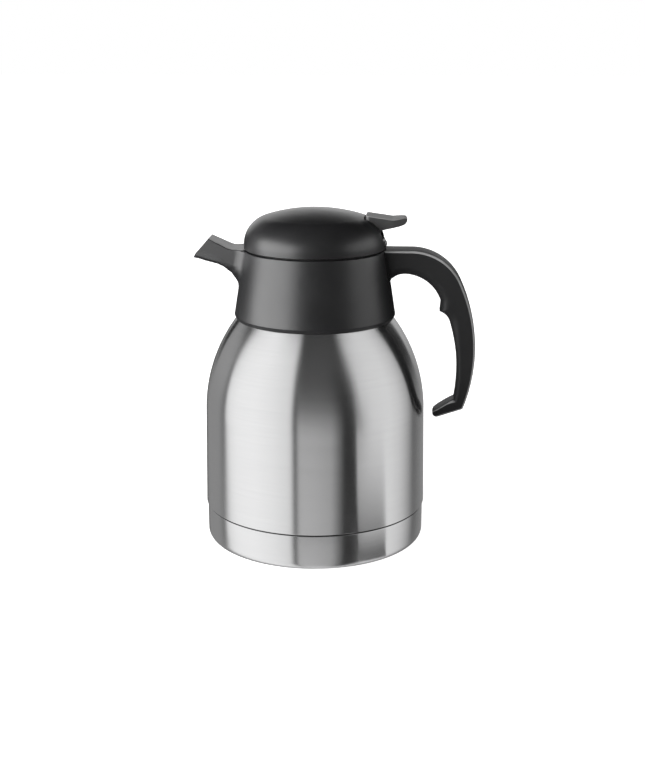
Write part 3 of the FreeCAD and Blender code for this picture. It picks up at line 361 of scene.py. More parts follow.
# Collar, with the spout and the handle's pad: one moulding of black polypropylene that is clamped
# over the flask's neck. The mould was etched, so the face is satin, with a fine even grain.
def satin_black(name, highlit):
    """Etched black plastic. The highlit variant is rougher and darker, and paled where its points carry
    a painted highlight.
    """
    # The etched grain is about 0.1 mm, drawn coarser to show.
    grain, patch = 0.45 * MM, 14 * MM
    smoothest = 0.56 if highlit else 0.36
    spread = 0.1
    dark, light = ("181819", "1e1e1f") if highlit else ("1f1f20", "262627")
    made, tree, place = new_material(name)
    etch = add(tree, "TexNoise", {"Vector": place, "Scale": 1 / grain, "Detail": 2.0})
    patches = add(tree, "TexNoise", {"Vector": place, "Scale": 1 / patch, "Detail": 3.0})
    tint = {"Fac": patches.outputs["Fac"], "Color1": linear(dark), "Color2": linear(light)}
    tint = add(tree, "MixRGB", tint).outputs["Color"]
    # Painted highlight: a point attribute pales the colour towards light grey along edges that should
    # catch light.
    if highlit:
        wear_and_highlight = add(tree, "Attribute", attribute_name="wear_and_highlight").outputs["Fac"]
        tint = {"Fac": wear_and_highlight, "Color1": tint, "Color2": linear("a4a4a4")}
        tint = add(tree, "MixRGB", tint).outputs["Color"]
    rough = {"Value": patches.outputs["Fac"], "To Min": smoothest, "To Max": smoothest + spread}
    rough = add(tree, "MapRange", rough)
    relief = {"Height": etch.outputs["Fac"], "Strength": 0.1, "Distance": 0.05 * MM}
    shader = add(tree, "BsdfPrincipled", {
        "Base Color": tint,
        "Roughness": rough.outputs["Result"],
        "IOR": 1.49,
        "Normal": add(tree, "Bump", relief).outputs["Normal"],
    })
    add(tree, "OutputMaterial", {"Surface": shader.outputs["BSDF"]})
    return made


black = satin_black("satin_black_polypropylene", highlit=False)
rim_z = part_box("throat_ring")[1].z


def ramp(value, start, end):
    """Share of the way from start to end, eased at both ends."""
    share = min(max((value - start) / (end - start), 0), 1)
    return share * share * (3 - 2 * share)


def smooth(piece):
    """Smooth shading that keeps corners and lets large flat faces stay flat."""
    bpy.ops.object.shade_smooth_by_angle(angle=math.radians(30))
    weigh = piece.modifiers.new("weigh", "WEIGHTED_NORMAL")
    weigh.keep_sharp = True
    bpy.ops.object.modifier_apply(modifier=weigh.name)


def squarer(across, down, old, new):
    """How much farther out a point of a rounded corner lies when the corner's round shrinks."""
    a = math.atan2(down, across)
    shift = old - new
    side = old / max(math.cos(a), math.sin(a))
    spare = new ** 2 - shift ** 2 * (1 - math.sin(2 * a))
    round_end = shift * (math.cos(a) + math.sin(a)) + math.sqrt(max(spare, 0))
    on_round = min(math.cos(a), math.sin(a)) * side > shift
    return (round_end if on_round else side) / old


def corner_push(x, y, drop):
    """How far a point moves out and down to make the beak's lower corner crisper, all in mm."""
    old_round, new_round, outer_face = 5.5, 2.0, 5.15
    # The middle of the old round lies this far out and down, and moves in and up towards the tip.
    half_width, half_taper, half_at = 6.5, 0.1405, -43.4
    depth, depth_taper, depth_at = 11.05, 0.307, -40.6
    root_x, full_x = -49.5, -54
    across = y - half_width - half_taper * (x - half_at)
    down = drop - depth - depth_taper * (x - depth_at)
    if x > root_x or across <= 0 or down <= 0 or math.hypot(across, down) <= outer_face:
        return 0, 0
    push = (squarer(across, down, old_round, new_round) - 1) * ramp(x, root_x, full_x)
    return across * push, down * push


def spout_lift(x, drop):
    """How far a point of the spout is lifted, from its X and its drop below the rim, all in mm.

    Each ramp runs between two places along X, or between two drops.
    """
    edge_lift, under_lift, tip_lift, middle_lift = 0.6, 1.3, 0.65, 0.75
    crook_fill, throat_fill = 1.2, 1.0
    edge = edge_lift * ramp(x, -43, -44.5)
    under = under_lift * ramp(x, -49.5, -53)
    under += (tip_lift * ramp(x, -75, -69) + middle_lift * ramp(x, -67, -57)) * ramp(x, -50.5, -56)
    fill = -crook_fill * ramp(x, -51, -49) * ramp(x, -45.8, -48) * ramp(drop, 10, 13)
    fill -= throat_fill * ramp(x, -56.8, -53.2) * ramp(x, -49.5, -52) * ramp(drop, 5, 9)
    # The fill fades out above the collar's lower edge.
    fill *= ramp(drop, 31, 22)
    low = ramp(drop, 0, 4)
    return under * low + edge * (1 - low) + fill


def collar_shell():
    """Copy of the collar's mesh with the beak lifted, its lower corners crisper and its crook fuller."""
    spout_x, below_rim = -44 * MM, 2 * MM
    bpy.ops.object.select_all(action="DESELECT")
    shell = nodes["collar"].copy()
    shell.data = nodes["collar"].data.copy()
    shell.name = shell.data.name = "collar_shell"
    bpy.context.scene.collection.objects.link(shell)
    bpy.context.view_layer.objects.active = shell
    shell.select_set(True)
    bpy.ops.mesh.customdata_custom_splitnormals_clear()
    bpy.ops.object.mode_set(mode="EDIT")
    bpy.ops.mesh.select_all(action="SELECT")
    bpy.ops.mesh.remove_doubles(threshold=MERGE_WITHIN)
    bpy.ops.mesh.normals_make_consistent(inside=False)
    # The spout's large flat faces are divided, so that they can follow the new curve.
    bpy.ops.mesh.select_all(action="DESELECT")
    bpy.ops.object.mode_set(mode="OBJECT")
    for face in shell.data.polygons:
        face.select = face.center.x < spout_x and face.center.z < rim_z - below_rim
    bpy.ops.object.mode_set(mode="EDIT")
    bpy.ops.mesh.subdivide(number_cuts=5)
    bpy.ops.object.mode_set(mode="OBJECT")
    for vertex in shell.data.vertices:
        x, y, drop = vertex.co.x / MM, abs(vertex.co.y) / MM, (rim_z - vertex.co.z) / MM
        out, down = corner_push(x, y, drop)
        vertex.co.y += math.copysign(out * MM, vertex.co.y)
        vertex.co.z -= down * MM
        vertex.co.z += spout_lift(x, drop) * MM
    smooth(shell)
    return shell


collar = collar_shell()
collar.data.materials.clear()
collar.data.materials.append(black)
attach(collar, "jug")
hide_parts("collar")


# Handle: a tapered bar of the same polypropylene, screwed to the collar's pad from inside.
# Its back has crisp edges, its finger side is well rounded, and it ends in a free hook.
def on_circle(centre, radius, degrees):
    """Point of a circle at an angle."""
    return arc(centre, radius, degrees, degrees, 1)[0]


def angle_at(centre, radius, z):
    """Angle in degrees at which the right side of a circle reaches a height."""
    return math.degrees(math.asin((z - centre[1]) / radius))


def line(start, end, steps):
    """Points evenly spaced from start to end."""
    shares = [n / steps for n in range(steps + 1)]
    return [(start[0] + (end[0] - start[0]) * f, start[1] + (end[1] - start[1]) * f) for f in shares]


def skin(name, rows):
    """A closed skin over rows of points (x, y, z and a painted highlight), capped at both ends.

    Each row runs once round the piece. The painted highlight is how far the colour is paled at that
    point, from 0 to 1.
    """
    bpy.ops.object.select_all(action="DESELECT")
    bpy.ops.mesh.primitive_grid_add(x_subdivisions=len(rows[0]), y_subdivisions=len(rows) - 1)
    piece = bpy.context.object
    piece.name = piece.data.name = name
    wear_and_highlight_map = piece.data.attributes.new("wear_and_highlight", "FLOAT", "POINT")
    spots = [spot for row in rows for spot in [*row, row[0]]]
    for vertex, value, (x, y, z, wear_and_highlight) in zip(piece.data.vertices, wear_and_highlight_map.data, spots, strict=True):
        vertex.co = (x, y, z)
        value.value = wear_and_highlight
    bpy.ops.object.mode_set(mode="EDIT")
    bpy.ops.mesh.select_all(action="SELECT")
    bpy.ops.mesh.remove_doubles(threshold=MERGE_WITHIN)
    bpy.ops.mesh.fill_holes(sides=0)
    bpy.ops.mesh.select_all(action="SELECT")
    bpy.ops.mesh.normals_make_consistent(inside=False)
    bpy.ops.object.mode_set(mode="OBJECT")
    bpy.ops.object.shade_smooth_by_angle(angle=math.radians(32))
    return piece


def bulge(depth, size):
    """How far inside its side a rounded corner still is, at a depth behind the end."""
    depth = min(max(depth, 0), size)
    return size - math.sqrt(size ** 2 - (size - depth) ** 2)


def handle_rungs():
    """Pairs of points on the handle's back and finger side, from root to hook, each with its round.

    The round is that of the finger side's edges. A drop is a depth below the collar's rim.
    """
    root_x, top_rise, back_inset = 43.6 * MM, 1.06 * MM, 0.6 * MM
    bend_round, back_round, back_drop = 33 * MM, 103 * MM, 62.2 * MM
    grip_round, grip_drop, grip_thick = 106 * MM, 75.2 * MM, 11.2 * MM
    scoop_round, scoop_drop = 9.5 * MM, 45.85 * MM
    stop_turn, stop_lean, stop_height = 73, 0.6 * MM, 6.2 * MM
    arch_round, arch_drop, arch_split = 24 * MM, 13.8 * MM, 8
    heel_round, heel_turn, root_turn = 14 * MM, 83, 127
    foot_drop, hook_drop = 92 * MM, 98.6 * MM
    nose_round, nose_x, nose_drop = 2.4 * MM, 75.9 * MM, 101.8 * MM
    nose_back, nose_front, tip_back, tip_front = 290, 120, 208, 202
    root_soft, soft, hook_soft, crisp = 2 * MM, 5.2 * MM, 3 * MM, 1.0 * MM

    top_z, back_x = rim_z + top_rise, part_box("handle")[1].x - back_inset
    back = (back_x - back_round, rim_z - back_drop)
    bend_turn = angle_at(back, back_round - bend_round, top_z - bend_round)
    bend = on_circle(back, back_round - bend_round, bend_turn)
    grip = (back_x - grip_thick - grip_round, rim_z - grip_drop)
    scoop_turn = angle_at(grip, grip_round - scoop_round, rim_z - scoop_drop)
    scoop = on_circle(grip, grip_round - scoop_round, scoop_turn)
    scoop_end = on_circle(grip, grip_round, scoop_turn)
    stop_low = on_circle(scoop, scoop_round, stop_turn)
    stop_high = (stop_low[0] + stop_lean, stop_low[1] + stop_height)
    arch_z = rim_z - arch_drop - arch_round
    arch = (stop_high[0] - math.sqrt(arch_round ** 2 - (stop_high[1] - arch_z) ** 2), arch_z)
    arch_end = angle_at(arch, arch_round, stop_high[1])
    heel = on_circle(arch, arch_round - heel_round, heel_turn)
    foot_turn = angle_at(grip, grip_round, rim_z - foot_drop)
    foot = on_circle(grip, grip_round, foot_turn)
    hook_turn = angle_at(back, back_round, rim_z - hook_drop)
    hook = on_circle(back, back_round, hook_turn)
    nose = (nose_x, rim_z - nose_drop)

    def facing(spot):
        """Angle at which the back arc lies straight behind a point of the finger side."""
        return math.degrees(math.atan2(spot[1] - back[1], spot[0] - back[0]))

    # Each run gives the back, the finger side, and the finger side's round at both ends.
    runs = [
        (line((root_x, top_z), (bend[0], top_z), 8),
         arc(heel, heel_round, root_turn, heel_turn, 8), root_soft, soft),
        (arc(bend, bend_round, 90, bend_turn, 24),
         arc(arch, arch_round, heel_turn, arch_end + arch_split, 24), soft, soft),
        (arc(back, back_round, bend_turn, facing(stop_high), 4),
         arc(arch, arch_round, arch_end + arch_split, arch_end, 4), soft, soft),
        (arc(back, back_round, facing(stop_high), facing(stop_low), 5),
         line(stop_high, stop_low, 5), soft, soft),
        (arc(back, back_round, facing(stop_low), facing(scoop_end), 10),
         arc(scoop, scoop_round, stop_turn, scoop_turn, 10), soft, soft),
        (arc(back, back_round, facing(scoop_end), hook_turn, 24),
         arc(grip, grip_round, scoop_turn, foot_turn, 24), soft, hook_soft),
        (line(hook, on_circle(nose, nose_round, nose_back), 8),
         line(foot, on_circle(nose, nose_round, nose_front), 8), hook_soft, crisp),
        (arc(nose, nose_round, nose_back, tip_back, 6),
         arc(nose, nose_round, nose_front, tip_front, 6), crisp, crisp),
    ]
    rungs = []
    for n, (outer, inner, first, last) in enumerate(runs):
        steps = len(outer) - 1
        # The round changes over the first third of a run.
        rounds = [first + (last - first) * min(1, 3 * k / steps) for k in range(steps + 1)]
        # A run starts where the one before it ends, so that shared pair is left out.
        rungs += list(zip(outer, inner, rounds))[min(n, 1):]
    return rungs


def handle_section(back, finger, finger_round):
    """Rounded section of the bar between a point of its back and one of its finger side."""
    wide, narrow, taper_z, drop = 9.8 * MM, 6.25 * MM, rim_z - 16.7 * MM, 105 * MM
    tip_x, tip_round, hook_z = 73.5 * MM, 4 * MM, rim_z - 92.5 * MM
    crown, crown_inset, back_round = 0.3 * MM, 4 * MM, 1.25 * MM
    highlight_low, highlight_high = rim_z - 14 * MM, rim_z - 3 * MM
    thick = math.dist(back, finger)
    way = ((back[0] - finger[0]) / thick, (back[1] - finger[1]) / thick)
    crisp, soft = min(back_round, 0.4 * thick), min(finger_round, 0.5 * thick)
    in_hook = finger[1] < hook_z
    # The painted highlight is strongest on the edges of the level top.
    highlit = 0.65 + 0.35 * ramp(back[1], highlight_low, highlight_high)

    def place(out, inset, wear_and_highlight, side):
        """Point at a distance out from the finger side, inset from the flank or on the middle line."""
        x, z = finger[0] + way[0] * out, finger[1] + way[1] * out
        half = wide + (narrow - wide) * min(max((taper_z - z) / drop, 0), 1)
        if in_hook:
            half -= bulge(x - tip_x, tip_round)
        return (x, side * max(half - inset, 0), z, wear_and_highlight)

    quarter = range(0, 91, 15)
    row = [(thick, wide, 0), (thick - crown / 4, crown_inset, 0)]
    # Round of the back's crisp edge; its middle points carry the painted highlight.
    for degrees in quarter:
        a = math.radians(degrees)
        out = thick - crown - crisp + crisp * math.cos(a)
        row.append((out, crisp - crisp * math.sin(a), highlit if 0 < degrees < 90 else 0))
    row += [(soft + (thick - crisp - soft - crown) * f, 0, 0) for f in (0.9, 0.5, 0.1)]
    for degrees in quarter:
        a = math.radians(degrees)
        # Within the hook, the middle of the finger-side round carries a painted highlight too.
        wear_and_highlight = 1 if in_hook and 15 < degrees < 75 else 0
        row.append((soft - soft * math.sin(a), soft - soft * math.cos(a), wear_and_highlight))
    row += [(0, wide, 0)]
    return [place(*spot, -1) for spot in row] + [place(*spot, 1) for spot in reversed(row[1:-1])]


# The handle's and lever's variant, with painted highlights on their edges.
highlit_black = satin_black("black_polypropylene_painted_highlights", highlit=True)
handle_rows = [handle_section(*rung) for rung in handle_rungs()]
# The root follows the collar's round.
handle_rows[0] = [(math.sqrt(x * x - y * y), y, z, wear_and_highlight) for x, y, z, wear_and_highlight in handle_rows[0]]
handle = skin("handle_bar", handle_rows)
handle.data.materials.append(highlit_black)
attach(handle, "jug")
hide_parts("handle")


# Throat ring and stopper: plain black polypropylene mouldings from a polished mould. They carry the
# lid's thread, so they are smoother and a little glossier than the outside.
def plain_black():
    flow = 9 * MM
    made, tree, place = new_material("plain_black_polypropylene")
    flow_marks = {"Vector": place, "Scale": 1 / flow, "Detail": 2.0, "Distortion": 0.8}
    flow_marks = add(tree, "TexNoise", flow_marks)
    tint = {"Fac": flow_marks.outputs["Fac"], "Color1": linear("242425"), "Color2": linear("2e2e2f")}
    rough = add(tree, "MapRange", {"Value": flow_marks.outputs["Fac"], "To Min": 0.3, "To Max": 0.4})
    shader = add(tree, "BsdfPrincipled", {
        "Base Color": add(tree, "MixRGB", tint).outputs["Color"],
        "Roughness": rough.outputs["Result"],
        "IOR": 1.49,
    })
    add(tree, "OutputMaterial", {"Surface": shader.outputs["BSDF"]})
    return made


dress(plain_black(), "throat_ring", "stopper")


# Lid seal: a flat ring of black rubber under the lid's deck, seen as the dark seam above the collar.
# It is cut from sheet, matt, and a little greyer where it has been rubbed.
def black_rubber():
    wear_and_highlight = 4 * MM
    made, tree, place = new_material("black_rubber")
    wear_and_highlight_map = add(tree, "TexNoise", {"Vector": place, "Scale": 1 / wear_and_highlight, "Detail": 4.0})
    tint = {"Fac": wear_and_highlight_map.outputs["Fac"], "Color1": linear("161616"), "Color2": linear("242423")}
    shader = add(tree, "BsdfPrincipled", {
        "Base Color": add(tree, "MixRGB", tint).outputs["Color"],
        "Roughness": 0.75,
        "IOR": 1.5,
    })
    add(tree, "OutputMaterial", {"Surface": shader.outputs["BSDF"]})
    return made


dress(black_rubber(), "lid_seal")


# Lid dome: the cover of the lid, a shell of the collar's satin polypropylene that snaps over the
# stopper's deck. It has a slot for the lever and a nib under the slot.
dress(black, "lid_dome")


# Thumb lever: the same polypropylene on a steel cross pin, with a fork inside the lid that lifts
# the valve. The thumb plate falls to a shallow dip, and its end is blunt and round.
pin_low, pin_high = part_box("lever_pin")
pivot = (pin_low + pin_high) / 2


def height_at(points, x):
    """Height at x on a line through points (x, height)."""
    for (x0, z0), (x1, z1) in zip(points, points[1:]):
        if x <= x1:
            return z0 + (z1 - z0) * (x - x0) / (x1 - x0)
    return points[-1][1]


def lever_head():
    """Thumb plate and its root, skinned over sections from the front to the thumb end."""
    front_x, end_x, half = -5.4 * MM, 19.6 * MM, 9 * MM
    front_round, end_round, nose_round, edge = 3.0 * MM, 8.6 * MM, 1.9 * MM, 0.9 * MM
    # Painted highlight: how far the colour is paled on the upper edges, the top, the front corner and
    # everywhere else.
    edge_highlight, top_highlight, front_highlight, least_highlight = 0.7, 0.45, 0.45, 0.1
    corner_steps = 6
    # Both outlines are in mm from the pivot, outwards and up.
    top = [(-5.4, 11.2), (10.3, 9.0), (11.5, 9.0), (19.6, 10.0)]
    under = [(-5.4, 7.0), (-4.6, 4.2), (-3.1, 0.3), (3.1, 0.1), (5.1, 2.4), (15.3, 4.6), (19.6, 5.8)]
    front = [front_x + front_round * (1 - math.cos(math.radians(a))) for a in range(10, 91, 16)]
    middle = [x * MM for x in (-1, 1.5, 3.1, 4.1, 5.1, 6.5, 8.5, 10.3, 10.9, 11.5, 12.9)]
    end = [end_x - end_round * (1 - math.cos(math.radians(a))) for a in range(90, 5, -7)]
    rows = []
    for x in front + middle + end:
        wide = half - bulge(x - front_x, front_round) - bulge(end_x - x, end_round)
        nose = bulge(end_x - x, nose_round)
        high = height_at(top, x / MM) * MM - nose - bulge(x - front_x, edge)
        low = height_at(under, x / MM) * MM + nose
        r = min(edge, (high - low) * 0.45, wide * 0.45)
        on_front = 0.1 * front_round < x - front_x < 0.6 * front_round
        corners = [(1, high - r, 0), (-1, high - r, 90), (-1, low + r, 180), (1, low + r, 270)]
        row = []
        for across, middle_z, start in corners:
            corner = arc((across * (wide - r), middle_z), r, start, start + 90, corner_steps)
            for n, (y, z) in enumerate(corner):
                wear_and_highlight = front_highlight if on_front else least_highlight
                # A turn of 90 degrees faces up, and the upper edges are at 45 and 135.
                turn = start + 90 * n / corner_steps
                if 75 <= turn <= 105:
                    wear_and_highlight = top_highlight
                elif 30 <= turn <= 150:
                    wear_and_highlight = edge_highlight
                row.append((pivot.x + x, y, pivot.z + z, wear_and_highlight))
        rows.append(row)
    return skin("lever_arm", rows)


def combine(piece, other, operation):
    """Joins another shape to a piece, or cuts it away."""
    bpy.ops.object.select_all(action="DESELECT")
    bpy.context.view_layer.objects.active = piece
    piece.select_set(True)
    cut = piece.modifiers.new("cut", "BOOLEAN")
    cut.operation, cut.object, cut.solver = operation, other, "EXACT"
    bpy.ops.object.modifier_apply(modifier=cut.name)
    bpy.data.objects.remove(other)


def cross_rod(radius, length):
    """A round rod along Y at the lever's pivot."""
    bpy.ops.object.select_all(action="DESELECT")
    along_y = (math.pi / 2, 0, 0)
    bpy.ops.mesh.primitive_cylinder_add(vertices=64, radius=radius, depth=length, rotation=along_y)
    bpy.ops.transform.translate(value=pivot)
    bpy.ops.object.transform_apply(location=True, rotation=True)
    return bpy.context.object


def lever_fork():
    """Flat arm inside the lid, with a notch that goes round the valve's stem."""
    half, gap, low, thick = 6.5 * MM, 3.4 * MM, rim_z + 6.2 * MM, 2.5 * MM
    notch = [(-gap, -gap), *arc((gap, 0), gap, -90, 90, 16), (-gap, gap)]
    outline = [(pivot.x, -half), (-gap, -half), *notch, (-gap, half), (pivot.x, half)]
    fork = draw_line("lever_fork", [(x, y, low) for x, y in outline])
    bpy.ops.mesh.select_all(action="SELECT")
    bpy.ops.mesh.edge_face_add()
    bpy.ops.mesh.extrude_region_move(TRANSFORM_OT_translate={"value": (0, 0, thick)})
    bpy.ops.mesh.select_all(action="SELECT")
    bpy.ops.mesh.normals_make_consistent(inside=False)
    bpy.ops.object.mode_set(mode="OBJECT")
    return fork


HUB_RADIUS, HUB_LENGTH = 3.5 * MM, 17 * MM
BORE_RADIUS, BORE_LENGTH = 1.55 * MM, 24 * MM
lever = lever_head()
combine(lever, lever_fork(), "UNION")
combine(lever, cross_rod(HUB_RADIUS, HUB_LENGTH), "UNION")
combine(lever, cross_rod(BORE_RADIUS, BORE_LENGTH), "DIFFERENCE")
smooth(lever)
lever.data.materials.append(highlit_black)
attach(lever, "lever")
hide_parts("thumb_lever")


# Valve: disc, stem and cap are grey acetal, turned and moulded smooth so that they slide.
# Acetal is slightly waxy, with a soft even gloss.
def grey_acetal():
    flow = 6 * MM
    made, tree, place = new_material("grey_acetal")
    flow_marks = add(tree, "TexNoise", {"Vector": place, "Scale": 1 / flow, "Detail": 2.0})
    tint = {"Fac": flow_marks.outputs["Fac"], "Color1": linear("a6a8a8"), "Color2": linear("b2b4b3")}
    rough = add(tree, "MapRange", {"Value": flow_marks.outputs["Fac"], "To Min": 0.34, "To Max": 0.44})
    shader = add(tree, "BsdfPrincipled", {
        "Base Color": add(tree, "MixRGB", tint).outputs["Color"],
        "Roughness": rough.outputs["Result"],
        "IOR": 1.48,
    })
    add(tree, "OutputMaterial", {"Surface": shader.outputs["BSDF"]})
    return made


dress(grey_acetal(), "valve_disc", "valve_stem", "stem_cap")


# Screws, lever pin and valve spring: bright stainless wire and rod, drawn through dies.
# The drawing leaves a clean shine with fine marks along the length.
def bright_wire():
    mark = 0.5 * MM
    made, tree, place = new_material("bright_stainless_wire")
    marks = add(tree, "TexNoise", {"Vector": place, "Scale": 1 / mark, "Detail": 3.0})
    tint = {"Fac": marks.outputs["Fac"], "Color1": linear("b0b0b1"), "Color2": linear("d0d0cf")}
    rough = add(tree, "MapRange", {"Value": marks.outputs["Fac"], "To Min": 0.18, "To Max": 0.3})
    shader = add(tree, "BsdfPrincipled", {
        "Base Color": add(tree, "MixRGB", tint).outputs["Color"],
        "Metallic": 1.0,
        "Roughness": rough.outputs["Result"],
    })
    add(tree, "OutputMaterial", {"Surface": shader.outputs["BSDF"]})
    return made


wire_steel = bright_wire()
dress(wire_steel, "handle_screws", "lever_pin")


def valve_coil():
    """The spring's wire, its round section screwed up along a helix and capped at both ends."""
    wire, turns = 1.0 * MM, 5
    coil_radius = coil_high.x - wire / 2
    rise = coil_high.z - coil_low.z - wire
    bpy.ops.object.select_all(action="DESELECT")
    bpy.ops.mesh.primitive_circle_add(vertices=20, radius=wire / 2, rotation=(math.pi / 2, 0, 0))
    bpy.ops.transform.translate(value=(coil_radius, 0, coil_low.z + wire / 2))
    bpy.ops.object.transform_apply(location=True, rotation=True)
    coil = bpy.context.object
    coil.name = coil.data.name = "valve_coil"
    wind = coil.modifiers.new("wind", "SCREW")
    wind.steps = wind.render_steps = 48
    wind.iterations = turns
    wind.screw_offset = rise / turns
    bpy.ops.object.modifier_apply(modifier=wind.name)
    bpy.ops.object.mode_set(mode="EDIT")
    bpy.ops.mesh.select_all(action="SELECT")
    bpy.ops.mesh.fill_holes(sides=0)
    bpy.ops.mesh.select_all(action="SELECT")
    bpy.ops.mesh.normals_make_consistent(inside=False)
    bpy.ops.object.mode_set(mode="OBJECT")
    bpy.ops.object.shade_smooth_by_angle(angle=math.radians(35))
    return coil


# The lifted valve presses the spring up against the lid's deck.
coil_low, coil_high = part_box("valve_spring")
coil = valve_coil()
coil.data.materials.append(wire_steel)
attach(coil, "lid")
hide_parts("valve_spring")
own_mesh(coil)


# Studio: a white table inside a round wall that only reflections show. The wall's painted strips, with
# a softbox on the left, a window on the right, a dark camera side and a grey back, draw the upright
# bands on the steel. Bearings are in degrees, and grow towards the handle.
CAMERA_BEARING = 4.5
WALL_AWAY = 3.0
# Elevations in degrees that part the wall into three bands.
WALL_FOOT, EYE_LEVEL, LAMPS_TOP, WALL_TOP = -70, 0, 26, 62
mirrors = bpy.data.collections.new("mirrors")
for piece in (barrel, cup, coil, nodes["flask_liner"], nodes["handle_screws"], nodes["lever_pin"]):
    mirrors.objects.link(piece)


def hide_from_light(thing):
    """Leaves a stage piece in the steel's reflections only."""
    thing.visible_camera = thing.visible_diffuse = thing.visible_shadow = False
    thing.light_linking.receiver_collection = mirrors


def painted_wall(name, low, high, paint):
    """A round wall between two elevations, painted in stops of (bearing from the camera, grey level)."""
    brightest = max(level for bearing, level in paint)
    bottom, top = (WALL_AWAY * math.tan(math.radians(e)) for e in (low, high))
    bpy.ops.object.select_all(action="DESELECT")
    bpy.ops.mesh.primitive_cylinder_add(
        vertices=128, radius=WALL_AWAY, depth=top - bottom, end_fill_type="NOTHING",
    )
    bpy.ops.transform.translate(value=(0, 0, (bottom + top) / 2))
    bpy.ops.object.transform_apply(location=True)
    wall = bpy.context.object
    wall.name = name
    made, tree, place = new_material(name + "_paint")
    turn = (0, 0, math.radians(90 - CAMERA_BEARING))
    turned = add(tree, "Mapping", {"Vector": place, "Rotation": turn})
    round_wall = add(tree, "TexGradient", {"Vector": turned.outputs["Vector"]}, gradient_type="RADIAL")
    strips = add(tree, "ValToRGB", {"Fac": round_wall.outputs["Fac"]})
    stops = strips.color_ramp.elements
    stops.remove(stops[1])
    for n, (bearing, level) in enumerate(paint):
        stop = stops[0] if n == 0 else stops.new((bearing + 180) / 360)
        stop.position = (bearing + 180) / 360
        stop.color = (*[level / brightest] * 3, 1.0)
    shine = add(tree, "Emission", {"Color": strips.outputs["Color"], "Strength": brightest})
    add(tree, "OutputMaterial", {"Surface": shine.outputs["Emission"]})
    wall.data.materials.append(made)
    hide_from_light(wall)


softbox_strip = [(-103, 1.3), (-90, 1.42), (-66, 1.42), (-45, 1.29), (-27, 1.1), (-24, 0.8)]
window_strip = [(62, 1.02), (84, 1.1), (98, 0.95), (112, 0.62)]
painted_wall("wall_below", WALL_FOOT, EYE_LEVEL, [
    (-180, 0.12), (-163, 0.1), (-156, 0.28), (-148, 0.35), (-120, 0.39), (-108, 0.2), *softbox_strip,
    (-22, 0.1), (-20, 0.1), (-17, 0.76), (0, 0.71), (17, 0.6), (30.5, 0.05), (47, 0.02),
    (51, 0.4), (56, 0.8), *window_strip, (123, 0.2), (142, 0.3), (180, 0.4),
])
painted_wall("wall_level", EYE_LEVEL, LAMPS_TOP, [
    (-166, 0.48), (-158, 0.45), (-155, 0.0), (-146, 0.0), (-143, 0.42), (-114, 0.48), (-107, 0.25),
    *softbox_strip,
    (-22, 0.09), (10, 0.08), (22, 0.04), (39, 0.03), (44, 0.4), (49, 0.92), *window_strip,
    (117, 0.02), (142, 0.02), (146, 0.55), (180, 0.55),
])
painted_wall("wall_above", LAMPS_TOP, WALL_TOP, [
    (-180, 0.05), (-108, 0.05), *softbox_strip,
    (-22, 0.1), (36, 0.1), (41, 0.4), (46, 0.92), *window_strip,
    (117, 0.02), (142, 0.02), (146, 0.55), (180, 0.55),
])


def ceiling():
    """Dark ceiling, which keeps the white surround out of the steel's shoulder."""
    dim = 0.05
    height = WALL_AWAY * math.tan(math.radians(WALL_TOP))
    bpy.ops.object.select_all(action="DESELECT")
    bpy.ops.mesh.primitive_circle_add(vertices=64, radius=WALL_AWAY, fill_type="NGON")
    bpy.ops.transform.translate(value=(0, 0, height))
    bpy.ops.object.transform_apply(location=True)
    top = bpy.context.object
    top.name = "ceiling"
    made, tree, _ = new_material("ceiling_paint")
    shine = add(tree, "Emission", {"Color": linear("ffffff"), "Strength": dim})
    add(tree, "OutputMaterial", {"Surface": shine.outputs["Emission"]})
    top.data.materials.append(made)
    hide_from_light(top)


ceiling()


def table_shade():
    """The jug's own shade on the table to its right, as the steel's foot mirrors it."""
    # Its corners are in mm on the table, and it pales from near the jug to far from it.
    corners = [(51, -49.5), (330, -84), (305, -310), (36, -63)]
    just_above = 0.2 * MM
    near, far, dark, pale = 80 * MM, 260 * MM, 0.1, 1.05
    shade = draw_line("table_shade", [(x * MM, y * MM, just_above) for x, y in corners])
    bpy.ops.mesh.select_all(action="SELECT")
    bpy.ops.mesh.edge_face_add()
    bpy.ops.object.mode_set(mode="OBJECT")
    made, tree, place = new_material("shaded_table")
    reach = add(tree, "VectorMath", {0: place}, operation="LENGTH")
    span = {"From Min": near, "From Max": far, "To Min": dark, "To Max": pale}
    fade = add(tree, "MapRange", {"Value": reach.outputs["Value"], **span})
    shine = add(tree, "Emission", {"Color": linear("ffffff"), "Strength": fade.outputs["Result"]})
    add(tree, "OutputMaterial", {"Surface": shine.outputs["Emission"]})
    shade.data.materials.append(made)
    hide_from_light(shade)


table_shade()


def floor():
    """White table top. It glows for the camera, so that it is white and still takes a shadow."""
    wide, glow = 12, 0.86
    bpy.ops.object.select_all(action="DESELECT")
    bpy.ops.mesh.primitive_plane_add(size=wide, location=(0, 0, 0))
    table = bpy.context.object
    table.name = "table_top"
    made, tree, _ = new_material("white_table")
    paper = add(tree, "BsdfDiffuse", {"Color": linear("e8e8e8")})
    shine = add(tree, "Emission", {"Color": linear("ffffff"), "Strength": glow})
    seen = add(tree, "LightPath").outputs["Is Camera Ray"]
    both = add(tree, "AddShader")
    tree.links.new(paper.outputs["BSDF"], both.inputs[0])
    tree.links.new(shine.outputs["Emission"], both.inputs[1])
    mix = add(tree, "MixShader", {"Fac": seen})
    tree.links.new(paper.outputs["BSDF"], mix.inputs[1])
    tree.links.new(both.outputs["Shader"], mix.inputs[2])
    add(tree, "OutputMaterial", {"Surface": mix.outputs["Shader"]})
    table.data.materials.append(made)
    table.visible_glossy = False


floor()


